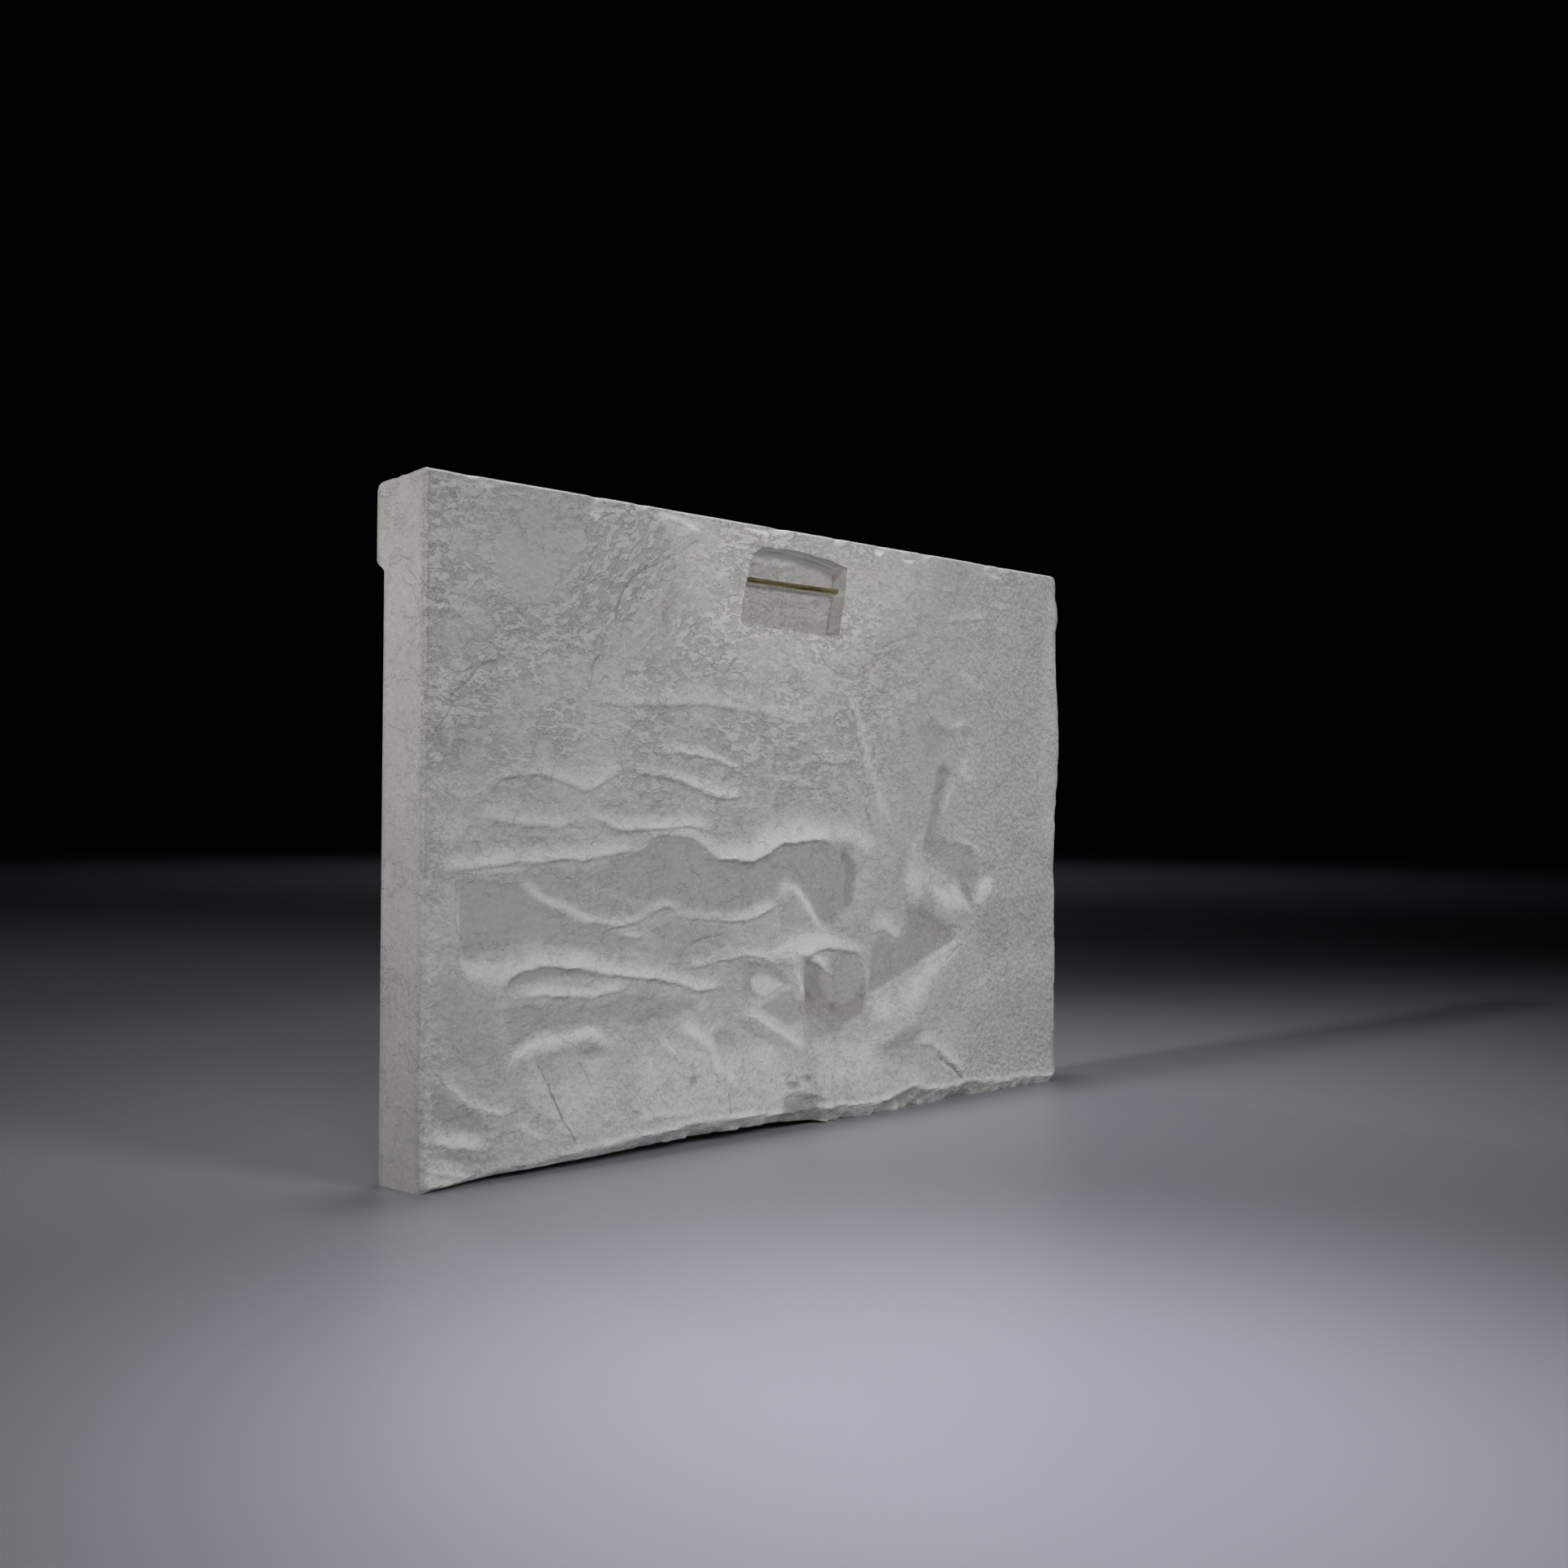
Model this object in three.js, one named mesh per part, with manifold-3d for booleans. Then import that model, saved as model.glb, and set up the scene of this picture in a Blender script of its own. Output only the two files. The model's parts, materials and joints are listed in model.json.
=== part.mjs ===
// Plaster bas-relief made to hang on a wall: a cast slab with cloth in low relief on its front, a rough
// hollowed back, and a brass rod set across a pocket in the back.
// Millimetres, +Z up. The relief faces -Y and the wall is at +Y. The origin is the middle of the rod.
// Places on the slab are given as across, from the edge at +X, and down, from the top edge, as they are
// seen from behind.

import * as THREE from 'three';
import { mergeVertices } from 'three/addons/utils/BufferGeometryUtils.js';
import Module from 'manifold-3d';

// Slab
const WIDTH = 550;
const HEIGHT = 360;
const THICKNESS = 37;
const TOP_FALL = 3;
const ARRIS = 4;
const ARRIS_DROP = 2;
const RIM = 10;
const RIM_DROP = 7;
const FOOT_HOLLOW = { rise: 5, from: 5, full: 150, easing: 250, to: 305 };
const CORNER_RADIUS = 9;

// Cells of the slab's surface: its rows are set by hand down to the relief and are even below it
const COLUMNS = 56;
const LAYERS = 3;
const EVEN_ROWS = 32;
const UPPER_ROWS = [0, ARRIS, 23, 43, 49, 72];
const ROWS = UPPER_ROWS.length + EVEN_ROWS;

// Rod and pocket
const ROD_RADIUS = 1.6;
const ROD_LENGTH = 105;
const ROD_ACROSS = 272;
const ROD_DOWN = 32;
const ROD_DEPTH = 6.3;
const ROD_SIDES = 16;
const GAP = 0.3;
const POCKET_DEPTH = 11;
const POCKET_MOUTH = 6;
const POCKET_CORNERS = [[242, 13], [318, 17], [311, 60], [223, 59], [229, 28]];

// Raised band, rosettes and hung cloth on the front, with across counted from the front's own left edge
const BAND_HEIGHT = 46;
const BAND_RISE = 6.5;
const BAND_EDGE = 3;
const ROSETTE = { across: 92, down: 104, radius: 30, rise: 7.5, heart: 14, heartRise: 3 };
const SWAG = { upper: 8, upperSag: 50, lower: 24, lowerSag: 156, edge: 11, gather: 0.84 };
const SWAG_RISE = { body: 4.5, belly: 4, fold: 4.5, folds: 3, crest: 0.55, narrow: 40, full: 90 };
const TAIL = { inset: 12, top: 16, spread: 14, low: 300, slant: 0.55, hem: 17, hemRise: 9 };
const TAIL_RISE = { body: 4, fold: 4.5 };

// Folds left in the back by the plaster as it was poured and pressed. Each rises over one width on the upper
// side of its path and falls back over the other on the lower side.
const FOLDS = [
  { rise: 0.9, over: 12, under: 5, path: [[104, 110], [200, 109], [290, 117]] },
  { rise: 1.3, over: 7, under: 4, path: [[154, 139], [178, 137], [230, 149]] },
  { rise: 1.3, over: 12, under: 5, path: [[28, 171], [60, 151], [106, 158], [138, 146]] },
  { rise: 1.8, over: 9, under: 5, path: [[132, 147], [180, 153], [215, 161], [233, 159]] },
  { rise: 1.3, over: 11, under: 5, path: [[30, 173], [86, 178], [106, 172]] },
  { rise: 1.7, over: 8, under: 4, path: [[104, 171], [130, 179], [206, 181]] },
  { rise: 3.2, over: 18, under: 6, path: [[146, 188], [166, 182], [219, 198], [262, 189], [322, 195]] },
  { rise: 1.8, over: 12, under: 5, path: [[12, 200], [80, 196], [146, 190]] },
  { rise: 1.5, over: 9, under: 5, path: [[104, 229], [167, 225], [220, 233], [264, 216]] },
  { rise: 2.2, over: 11, under: 5, path: [[20, 248], [45, 257], [85, 252], [163, 265], [214, 271]] },
  { rise: 1.4, over: 7, under: 5, path: [[56, 267], [108, 270], [140, 267]] },
  { rise: 1.3, over: 8, under: 6, path: [[4, 299], [26, 320], [78, 345]] },
  { rise: 2.0, over: 11, under: 5, path: [[-2, 330], [31, 341], [48, 343]] },
  { rise: 2.4, over: 13, under: 6, path: [[256, 257], [296, 257], [340, 262]] },
  { rise: 1.7, over: 9, under: 9, path: [[213, 291], [243, 298], [281, 319]] },
  { rise: 1.9, over: 12, under: 5, path: [[380, 316], [411, 327], [440, 347]] },
  { rise: 1.0, over: 6, under: 16, path: [[60, 203], [81, 219], [124, 232]] },
  { rise: 2.0, over: 7, under: 8, path: [[264, 216], [279, 223], [322, 244]] },
  { rise: 1.5, over: 8, under: 18, path: [[50, 308], [75, 296], [108, 292], [128, 308]] },
  { rise: 1.6, over: 11, under: 12, path: [[296, 184], [337, 192], [347, 202]] },
  { rise: 3.6, over: 32, under: 34, path: [[336, 309], [385, 294], [426, 266], [475, 226]] },
  { rise: 2.2, over: 15, under: 10, path: [[380, 212], [405, 231], [450, 242]] },
  { rise: 0.9, over: 8, under: 8, path: [[312, 94], [340, 145], [357, 186]] },
];
const FOLD_END = 22;
const FOLD_STEPS = 40;

// Hollows of the back and, with a negative depth, swellings: oval, turned in degrees, flat within the core
const HOLLOWS = [
  { across: 66, down: 226, long: 48, short: 20, turn: 12, depth: 0.9, core: 0.5 },
  { across: 240, down: 211, long: 90, short: 22, turn: 4, depth: 1.2, core: 0.5 },
  { across: 120, down: 280, long: 72, short: 14, turn: 3, depth: 0.8, core: 0.5 },
  { across: 252, down: 268, long: 22, short: 15, turn: 12, depth: 2.6, core: 0.1 },
  { across: 262, down: 292, long: 23, short: 11, turn: 20, depth: 1.6, core: 0.1 },
  { across: 293, down: 276, long: 13, short: 16, turn: -12, depth: 3.6, core: 0.1 },
  { across: 320, down: 287, long: 30, short: 20, turn: -8, depth: 2.8, core: 0.3 },
  { across: 400, down: 250, long: 46, short: 22, turn: -14, depth: 2.0, core: 0.3 },
  { across: 430, down: 206, long: 33, short: 18, turn: 22, depth: 1.4, core: 0.4 },
  { across: 24, down: 323, long: 26, short: 9, turn: 32, depth: 1.2, core: 0.2 },
  { across: 376, down: 150, long: 26, short: 62, turn: -5, depth: 0.8, core: 0.1 },
  { across: 276, down: 250, long: 30, short: 14, turn: 0, depth: -1.6, core: 0.1 },
];
const SUNK_MIDDLE = 1.5;
const LOW_RAMP = 5.5;

const { smoothstep, degToRad } = THREE.MathUtils;

const plaster = new THREE.MeshStandardMaterial({ color: 0xb9b8b4, roughness: 0.95, metalness: 0 });
const brass = new THREE.MeshStandardMaterial({ color: 0x7d7348, roughness: 0.5, metalness: 1 });

// Slab places to the part's frame
const toX = (across) => ROD_ACROSS - across;
const toY = (depth) => ROD_DEPTH - depth;
const toZ = (down) => ROD_DOWN - down;

// One at the middle of a fold, falling smoothly to nothing at its width
function bell(share) {
  const inside = Math.max(0, 1 - share * share);
  return inside * inside;
}

// Distance from a point to a line of points, the side it is on, and the way along to the nearest point
function nearestOnLine(line, across, down) {
  let best = { distance: Infinity, side: 1, along: 0 };
  let start = 0;
  for (let i = 1; i < line.length; i += 1) {
    const stepX = line[i].x - line[i - 1].x;
    const stepY = line[i].y - line[i - 1].y;
    const length = Math.hypot(stepX, stepY);
    const dx = across - line[i - 1].x;
    const dy = down - line[i - 1].y;
    const share = THREE.MathUtils.clamp((dx * stepX + dy * stepY) / (length * length), 0, 1);
    const distance = Math.hypot(dx - share * stepX, dy - share * stepY);
    if (distance < best.distance) {
      best = { distance, side: Math.sign(stepX * dy - stepY * dx), along: start + share * length };
    }
    start += length;
  }
  return { ...best, length: start };
}

const foldLines = FOLDS.map(({ path }) => {
  const points = path.map(([across, down]) => new THREE.Vector2(across, down));
  return new THREE.SplineCurve(points).getPoints(FOLD_STEPS);
});

function foldHeight(fold, line, across, down) {
  const near = nearestOnLine(line, across, down);
  const width = near.side < 0 ? fold.over : fold.under;
  const toEnd = Math.min(near.along, near.length - near.along);
  return fold.rise * bell(near.distance / width) * smoothstep(toEnd, 0, FOLD_END);
}

function hollowDepth(hollow, across, down) {
  const turn = degToRad(hollow.turn);
  const dx = across - hollow.across;
  const dy = down - hollow.down;
  const long = (dx * Math.cos(turn) + dy * Math.sin(turn)) / hollow.long;
  const short = (dy * Math.cos(turn) - dx * Math.sin(turn)) / hollow.short;
  return hollow.depth * (1 - smoothstep(Math.hypot(long, short), hollow.core, 1));
}

// Height of the back over its flat plane
function backRelief(across, down) {
  let height = 0;
  FOLDS.forEach((fold, i) => {
    height += foldHeight(fold, foldLines[i], across, down);
  });
  for (const hollow of HOLLOWS) {
    height -= hollowDepth(hollow, across, down);
  }
  const sunkDown = smoothstep(down, 118, 190) * (1 - smoothstep(down, 255, 300));
  const sunkAcross = smoothstep(across, 10, 50) * (1 - smoothstep(across, 430, 480));
  height -= SUNK_MIDDLE * sunkDown * sunkAcross;
  const rampAcross = smoothstep(across, 40, 140) * (1 - smoothstep(across, 360, 440));
  height += LOW_RAMP * smoothstep(down, 286, 346) * rampAcross;
  return height;
}

// Cloth hung in a swag between the rosettes, in folds that share its depth
function swagRelief(across, down) {
  const half = WIDTH / 2;
  const reach = Math.abs(across - half) / (half - ROSETTE.across);
  const sag = Math.max(0, 1 - reach * reach);
  const top = ROSETTE.down + SWAG.upper + SWAG.upperSag * sag;
  const low = ROSETTE.down + SWAG.lower + SWAG.lowerSag * sag;
  const share = (down - top) / (low - top);
  const steep = 2 * reach / (half - ROSETTE.across);
  const topEdge = SWAG.edge * Math.hypot(1, steep * SWAG.upperSag);
  const lowEdge = SWAG.edge * Math.hypot(1, steep * SWAG.lowerSag);
  const inside = smoothstep(down - top, 0, topEdge) * smoothstep(low - down, 0, lowEdge);
  const fold = THREE.MathUtils.euclideanModulo(share * SWAG_RISE.folds, 1);
  const rising = smoothstep(fold, 0, SWAG_RISE.crest);
  const ridge = fold < SWAG_RISE.crest ? rising : 1 - smoothstep(fold, SWAG_RISE.crest, 1);
  const belly = SWAG_RISE.belly * Math.sin(Math.PI * THREE.MathUtils.clamp(share, 0, 1));
  const folded = SWAG_RISE.fold * smoothstep(low - top, SWAG_RISE.narrow, SWAG_RISE.full);
  const gathered = 1 - smoothstep(reach, SWAG.gather, 1);
  return inside * gathered * (SWAG_RISE.body + belly + folded * ridge);
}

// Loose end of the cloth under a rosette, with out growing away from the middle of the slab
function tailRelief(out, down) {
  const spread = TAIL.spread + TAIL.spread * smoothstep(down, 100, 290);
  const share = out / spread;
  const zigzag = Math.abs(THREE.MathUtils.euclideanModulo((out + 2 * TAIL.spread) / TAIL.hem, 2) - 1);
  const low = TAIL.low - TAIL.slant * (out + 2 * TAIL.spread) - TAIL.hemRise * zigzag;
  const top = smoothstep(down, ROSETTE.down, ROSETTE.down + TAIL.top);
  const inside = (1 - smoothstep(Math.abs(share), 0.86, 1)) * top * (1 - smoothstep(down - low, -2.5, 2.5));
  return inside * (TAIL_RISE.body + TAIL_RISE.fold * (0.5 + 0.5 * Math.cos(3 * Math.PI * share)));
}

// Round boss that gathers the cloth, with a raised heart
function rosetteRelief(radius) {
  const boss = ROSETTE.rise * (1 - smoothstep(radius / ROSETTE.radius, 0.55, 1));
  return boss + ROSETTE.heartRise * bell(radius / ROSETTE.heart);
}

// Height of the front over its flat plane: the two halves mirror each other
function frontRelief(across, down) {
  const fromSide = Math.min(across, WIDTH - across);
  const band = BAND_RISE * (1 - smoothstep(down, BAND_HEIGHT - BAND_EDGE, BAND_HEIGHT + BAND_EDGE));
  const tail = tailRelief(ROSETTE.across - TAIL.inset - fromSide, down);
  const rosette = rosetteRelief(Math.hypot(fromSide - ROSETTE.across, down - ROSETTE.down));
  return Math.max(band, swagRelief(across, down), tail, rosette);
}

// Worn right-hand edge, seen from behind: it swells out beside the upper third and is nicked near the top
function edgeSwell(down) {
  return 4.5 * bell((down - 118) / 60) + 2.5 * bell((down - 26) / 12) - 1.5 * bell((down - 210) / 30);
}

// Drop of the rounded corners at the right-hand end
function cornerDrop(across) {
  const into = Math.max(0, across - (WIDTH - CORNER_RADIUS));
  return CORNER_RADIUS - Math.sqrt(CORNER_RADIUS * CORNER_RADIUS - into * into);
}

// How far the back's lower edge is hollowed up off the ground
function footHollow(across) {
  const { rise, from, full, easing, to } = FOOT_HOLLOW;
  return rise * smoothstep(across, from, full) * (1 - smoothstep(across, easing, to));
}

// Place across of a column line: even steps between two narrow ones along the edges
function columnPlace(column) {
  if (column === 0 || column === COLUMNS) {
    return column === 0 ? 0 : WIDTH;
  }
  return THREE.MathUtils.mapLinear(column, 1, COLUMNS - 1, ARRIS, WIDTH - ARRIS);
}

// Place down of a row line: set rows, then even ones to the rim above the foot
function rowPlace(row) {
  if (row < UPPER_ROWS.length) {
    return UPPER_ROWS[row];
  }
  if (row === ROWS) {
    return HEIGHT;
  }
  return THREE.MathUtils.mapLinear(row, UPPER_ROWS.length - 1, ROWS - 1, UPPER_ROWS.at(-1), HEIGHT - RIM);
}

// Slab: a box cut into cells, each of its points moved to its place on the casting
function slabGeometry() {
  const geometry = new THREE.BoxGeometry(1, 1, 1, COLUMNS, LAYERS, ROWS);
  const points = geometry.attributes.position;
  for (let i = 0; i < points.count; i += 1) {
    const column = Math.round((0.5 - points.getX(i)) * COLUMNS);
    const row = Math.round((0.5 - points.getZ(i)) * ROWS);
    const backShare = 0.5 + points.getY(i);
    const across = columnPlace(column);
    const down = rowPlace(row);
    const atFoot = row === ROWS;
    const atEdge = atFoot || row === 0 || column === 0 || column === COLUMNS;
    const wear = atEdge ? ARRIS_DROP : 0;
    const backDepth = (atFoot ? RIM_DROP : wear) - backRelief(across, down);
    const frontDepth = THICKNESS - wear + frontRelief(WIDTH - across, down);
    const foot = atFoot ? footHollow(across) * smoothstep(backShare, 0.4, 1) : 0;
    const fall = TOP_FALL * (1 - backShare) * (1 - smoothstep(down, 0, UPPER_ROWS[2]));
    const swell = edgeSwell(down) * smoothstep(across, WIDTH - 40, WIDTH);
    const inset = cornerDrop(across) * (1 - 2 * down / HEIGHT);
    points.setXYZ(
      i,
      toX(across + swell),
      toY(THREE.MathUtils.lerp(frontDepth, backDepth, backShare)),
      toZ(down + inset + fall - foot),
    );
  }
  return geometry;
}

// Pocket: an extruded outline, open through the back and flat at its floor
function pocketGeometry() {
  const corners = POCKET_CORNERS.map(([across, down]) => new THREE.Vector2(toX(across), toZ(down)));
  const options = { depth: POCKET_DEPTH + POCKET_MOUTH, bevelEnabled: false };
  const geometry = new THREE.ExtrudeGeometry(new THREE.Shape(corners), options);
  geometry.rotateX(Math.PI / 2);
  geometry.translate(0, toY(-POCKET_MOUTH), 0);
  return geometry;
}

function rodGeometry(radius, length) {
  const geometry = new THREE.CylinderGeometry(radius, radius, length, ROD_SIDES);
  geometry.rotateZ(Math.PI / 2);
  return geometry;
}

const wasm = await Module();
wasm.setup();

function toSolid(geometry) {
  const bare = geometry.clone();
  bare.deleteAttribute('normal');
  bare.deleteAttribute('uv');
  const merged = mergeVertices(bare, 1e-4);
  return new wasm.Manifold(new wasm.Mesh({
    numProp: 3,
    vertProperties: new Float32Array(merged.attributes.position.array),
    triVerts: new Uint32Array(merged.index.array),
  }));
}

function toGeometry(solid) {
  const mesh = solid.getMesh();
  const geometry = new THREE.BufferGeometry();
  geometry.setAttribute('position', new THREE.BufferAttribute(new Float32Array(mesh.vertProperties), 3));
  geometry.setIndex(new THREE.BufferAttribute(new Uint32Array(mesh.triVerts), 1));
  geometry.computeVertexNormals();
  return geometry;
}

function namedMesh(name, geometry, material) {
  const mesh = new THREE.Mesh(geometry, material);
  mesh.name = name;
  return mesh;
}

const socket = toSolid(rodGeometry(ROD_RADIUS + GAP, ROD_LENGTH + 2 * GAP));
const slab = toSolid(slabGeometry()).subtract(toSolid(pocketGeometry())).subtract(socket);

const relief = new THREE.Group();
relief.add(namedMesh('plaster_relief', toGeometry(slab), plaster));
relief.add(namedMesh('hanging_rod', rodGeometry(ROD_RADIUS, ROD_LENGTH), brass));

export default relief;
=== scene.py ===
import json
import math
from collections import namedtuple

import bpy
import numpy as np
from bpy.props import FloatProperty, FloatVectorProperty, IntProperty, PointerProperty
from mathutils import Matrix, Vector


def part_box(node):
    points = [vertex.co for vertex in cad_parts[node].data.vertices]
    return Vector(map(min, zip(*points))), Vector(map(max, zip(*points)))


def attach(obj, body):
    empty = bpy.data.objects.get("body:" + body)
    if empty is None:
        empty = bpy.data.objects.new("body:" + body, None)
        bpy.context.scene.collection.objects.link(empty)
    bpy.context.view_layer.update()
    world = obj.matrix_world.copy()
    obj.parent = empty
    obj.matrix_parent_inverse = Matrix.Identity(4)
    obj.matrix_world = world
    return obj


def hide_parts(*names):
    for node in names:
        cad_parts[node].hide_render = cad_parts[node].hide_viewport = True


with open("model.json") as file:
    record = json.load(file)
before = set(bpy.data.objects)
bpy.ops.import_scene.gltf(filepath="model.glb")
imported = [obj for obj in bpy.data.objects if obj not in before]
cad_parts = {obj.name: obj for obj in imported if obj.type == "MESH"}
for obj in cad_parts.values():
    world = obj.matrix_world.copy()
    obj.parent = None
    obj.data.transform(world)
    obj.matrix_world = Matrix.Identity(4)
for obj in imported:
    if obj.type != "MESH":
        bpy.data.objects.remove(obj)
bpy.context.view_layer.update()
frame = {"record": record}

bl_info = {
    "name": "Plaster bas-relief",
    "version": (1, 0, 0),
    "blender": (4, 5, 0),
    "location": "View3D > Sidebar > Relief",
    "description": "Builds a hung plaster relief with a rough, hollowed back and a brass rod",
    "category": "Object",
}

MM = 0.001
SLAB_NODE = "plaster_relief"
ROD_NODE = "hanging_rod"

# Places on the back are in millimetres: across from the edge at +X, and down from the top edge
slab_low, slab_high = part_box(SLAB_NODE)
rod_low, rod_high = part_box(ROD_NODE)
mounts = {mount["name"]: Vector(mount["pos_m"]) for mount in frame["record"]["mounts"]}
WIDTH = 550.0
HEIGHT = (slab_high.z - slab_low.z) / MM
EDGE_X = slab_high.x / MM
TOP_Z = slab_high.z / MM
BACK_Y = mounts["wall_side"].y / MM

# Casting without its front relief, how far its top falls from back to front, and the radii of its edges
THICKNESS = 37.0
TOP_FALL = 3.0
BACK_EDGE, FRONT_EDGE, FRONT_TOP_EDGE, FAR_EDGE, FAR_CORNER = 1.2, 1.6, 5.0, 12.0, 9.0
EDGE_CELLS = (0, 0.7, 1.6, 3.0)

# Greatest distance from a painted shadow line that the mesh keeps, and the greatest share of coarse grain
SHADOW_LINE_REACH = 10.0
COARSEST = 1.6

# A fold rises over one width on its upper side and falls back over the other on its lower side. Its white is
# the share of fresh powder and painted highlight on it, mostly over its upper side, which faces up. A rise, a
# white or an upper width given as several values changes along the path.
Fold = namedtuple("Fold", "rise white over under path")

# Each end of a fold dies away, and its white powder and painted highlight reach these shares of its widths
FOLD_END, WHITE_OVER, WHITE_UNDER = 16, 1.3, 0.6

# Lips steepen up to a crisp lower edge
LIPS = (
    Fold(0.8, 0.4, 14, 1.4, ((104, 110), (130, 111.5), (160, 110.5), (200, 109), (240, 112), (290, 117))),
    Fold(1.4, 0.75, 5, 1.5, ((158, 139), (170, 136), (180, 137.5), (197, 138.5), (214, 143.5), (230, 149))),
    Fold(1.2, (0.15, 0.3, 0.5, 0.7, 0.5), 10, 1.5, (
        (28, 171), (37, 163), (47, 155.5), (60, 151.5), (72, 151), (87, 154), (103, 158), (110, 158),
        (118, 154), (128, 150), (138, 147))),
    Fold(1.8, (0.2, 0.4, 0.9, 1, 0.8), 8, 1.8, (
        (132, 147), (160, 150), (180, 154), (197, 159.5), (215, 162), (231, 160))),
    Fold(1, 0.45, 10, 1.5, ((30, 173), (55, 176), (72, 177.5), (86, 178.5), (96, 176), (106, 172))),
    Fold(1.5, (0.5, 0.75, 0.75, 0.6), 8, 1.6, (
        (104, 171), (116, 175), (130, 179.5), (150, 179.5), (178, 178.5), (206, 181))),
    Fold((1.2, 1.5, 2.4, 3, 3, 2.6), (0.3, 0.4, 0.8, 1, 1, 0.9), (8, 8, 12, 17, 17, 13), 2, (
        (146, 188), (156, 184.5), (166, 182.5), (180, 184.5), (192, 188.5), (204, 196), (219, 198.5),
        (236, 198), (249, 193.5), (262, 189), (284, 187.5), (300, 188), (312, 192))),
    Fold(1.5, (0.9, 0.8, 0.75, 0.7), 9, 1.5, (
        (12, 200), (24, 199.5), (45, 198), (80, 196.5), (105, 195.5), (114, 195), (127, 193.5),
        (146, 190))),
    Fold(
        (1.2, 1.4, 1.2, 1.1, 0.9, 1.2, 1.7, 1.8), (0.7, 0.8, 0.4, 0.5, 0.4, 0.5, 0.9, 0.9),
        (6, 7, 4, 3.5, 3.5, 5, 8, 8), 1.6, (
        (104, 229), (122, 232), (140, 231.5), (151, 228), (167, 223.5), (180, 229.5), (200, 232),
        (220, 233), (241, 231), (252, 227), (259, 222.5))),
    Fold(0.8, 0.65, 5, 2, ((124, 235), (139, 239), (156, 242))),
    Fold(2, (0.4, 0.8, 0.9, 1, 0.95, 0.85, 0.85, 0.9, 0.9, 0.6), (3, 7, 11, 11, 9, 8, 8, 8, 7, 6), 1.8, (
        (50, 269), (51.5, 262), (55, 257), (64, 253), (85, 252.5), (105, 255), (125, 259.5), (145, 262),
        (163, 263.5), (175, 267), (184, 271), (198, 272), (214, 270.5))),
    Fold(1.4, 0.85, 6.5, 1.8, ((56, 267), (75, 266.5), (94, 268.5), (108, 270), (125, 268.5), (140, 267))),
    Fold(1.2, (0.2, 0.35, 0.5, 0.75, 0.9), 6, 1.6, (
        (174, 259), (195, 258), (212, 255.5), (232, 254.5), (250, 257), (266, 262))),
    Fold(0.9, 0.6, 6, 2, ((182, 281), (192, 284), (202, 280))),
    Fold(1.2, 0.75, 5, 2.5, ((8, 299), (19, 311), (30, 319), (41, 324.5), (52, 326), (62, 323))),
    Fold(0.6, 0.5, 5, 4, ((52, 328), (62, 335), (74, 343), (84, 349))),
    Fold(1.8, 0.9, 9, 2, ((-2, 331), (12, 337.5), (26, 340.5), (46, 343.5))),
    Fold(1.4, 0.8, 7, 3, ((-2, 346), (12, 351), (30, 355))),
    Fold(0.8, 0.35, 7, 1.5, ((286, 138), (305, 139), (332, 138))),
    Fold(0.8, 0.4, 5, 1.5, ((250, 151), (270, 154), (284, 154.5), (294, 150))),
    Fold(0.6, 0.3, 3.5, 1.5, ((252, 124), (264, 130), (277, 128.5), (290, 121))),
    Fold(2, (1, 1, 1, 0.8, 0.6), (9, 12, 11, 9, 7), 2, (
        (270, 258), (284, 256.5), (296, 254.5), (308, 254), (322, 256), (340, 261))),
    Fold(1.5, 1, 7.5, 2.4, ((270, 254), (283, 257.5), (293, 263), (302, 268), (312, 269.5))),
    Fold(1.5, 0.8, 8, 4, ((222, 289), (232, 290), (243, 294.5), (254, 300), (266, 307), (281, 318))),
    Fold(1.6, 0.65, 9, 1.8, ((380, 318), (398, 321), (411, 327), (424, 335), (440, 347))),
    Fold(0.9, 0.35, 7, 2, ((412, 43), (440, 40), (474, 35))),
    Fold(1.4, 0.95, 2.6, 1.6, ((466, 29), (480, 28), (492, 28))),
    Fold(0.7, 0.5, 3, 1.5, ((408, 23), (420, 22), (432, 23))),
    Fold(0.7, 0.5, 4, 1.5, ((470, 49), (479, 45), (488, 46))),
    Fold(0.8, 0.45, 3, 1.6, ((-6, 69), (14, 69), (40, 70))),
    Fold(0.8, 0.4, 5, 2, ((440, 291), (455, 287), (467, 282.5), (474, 288))),
    Fold(1, 0.6, 2.5, 1.6, ((424, 187), (436, 190), (449, 193), (458, 199.5), (462, 207))),
    Fold(1, 0.6, 4, 2, ((420, 116), (434, 113), (447, 116))),
    Fold(1.2, 0.55, 12, 1.6, ((340, 249), (350, 244.5), (358, 243.5), (365, 248), (371, 248), (378, 239))),
    Fold(0.7, 0.45, 4, 1.6, ((238, 149), (256, 150.5), (272, 151), (283, 153), (290, 149))),
    Fold(0.9, 0.6, 3, 1.6, ((417, 116), (428, 112), (440, 111), (449, 115))),
    Fold(0.6, 0.7, 3, 1.6, ((258, 338.5), (270, 337.5), (282, 339.5), (292, 342))),
)

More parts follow.
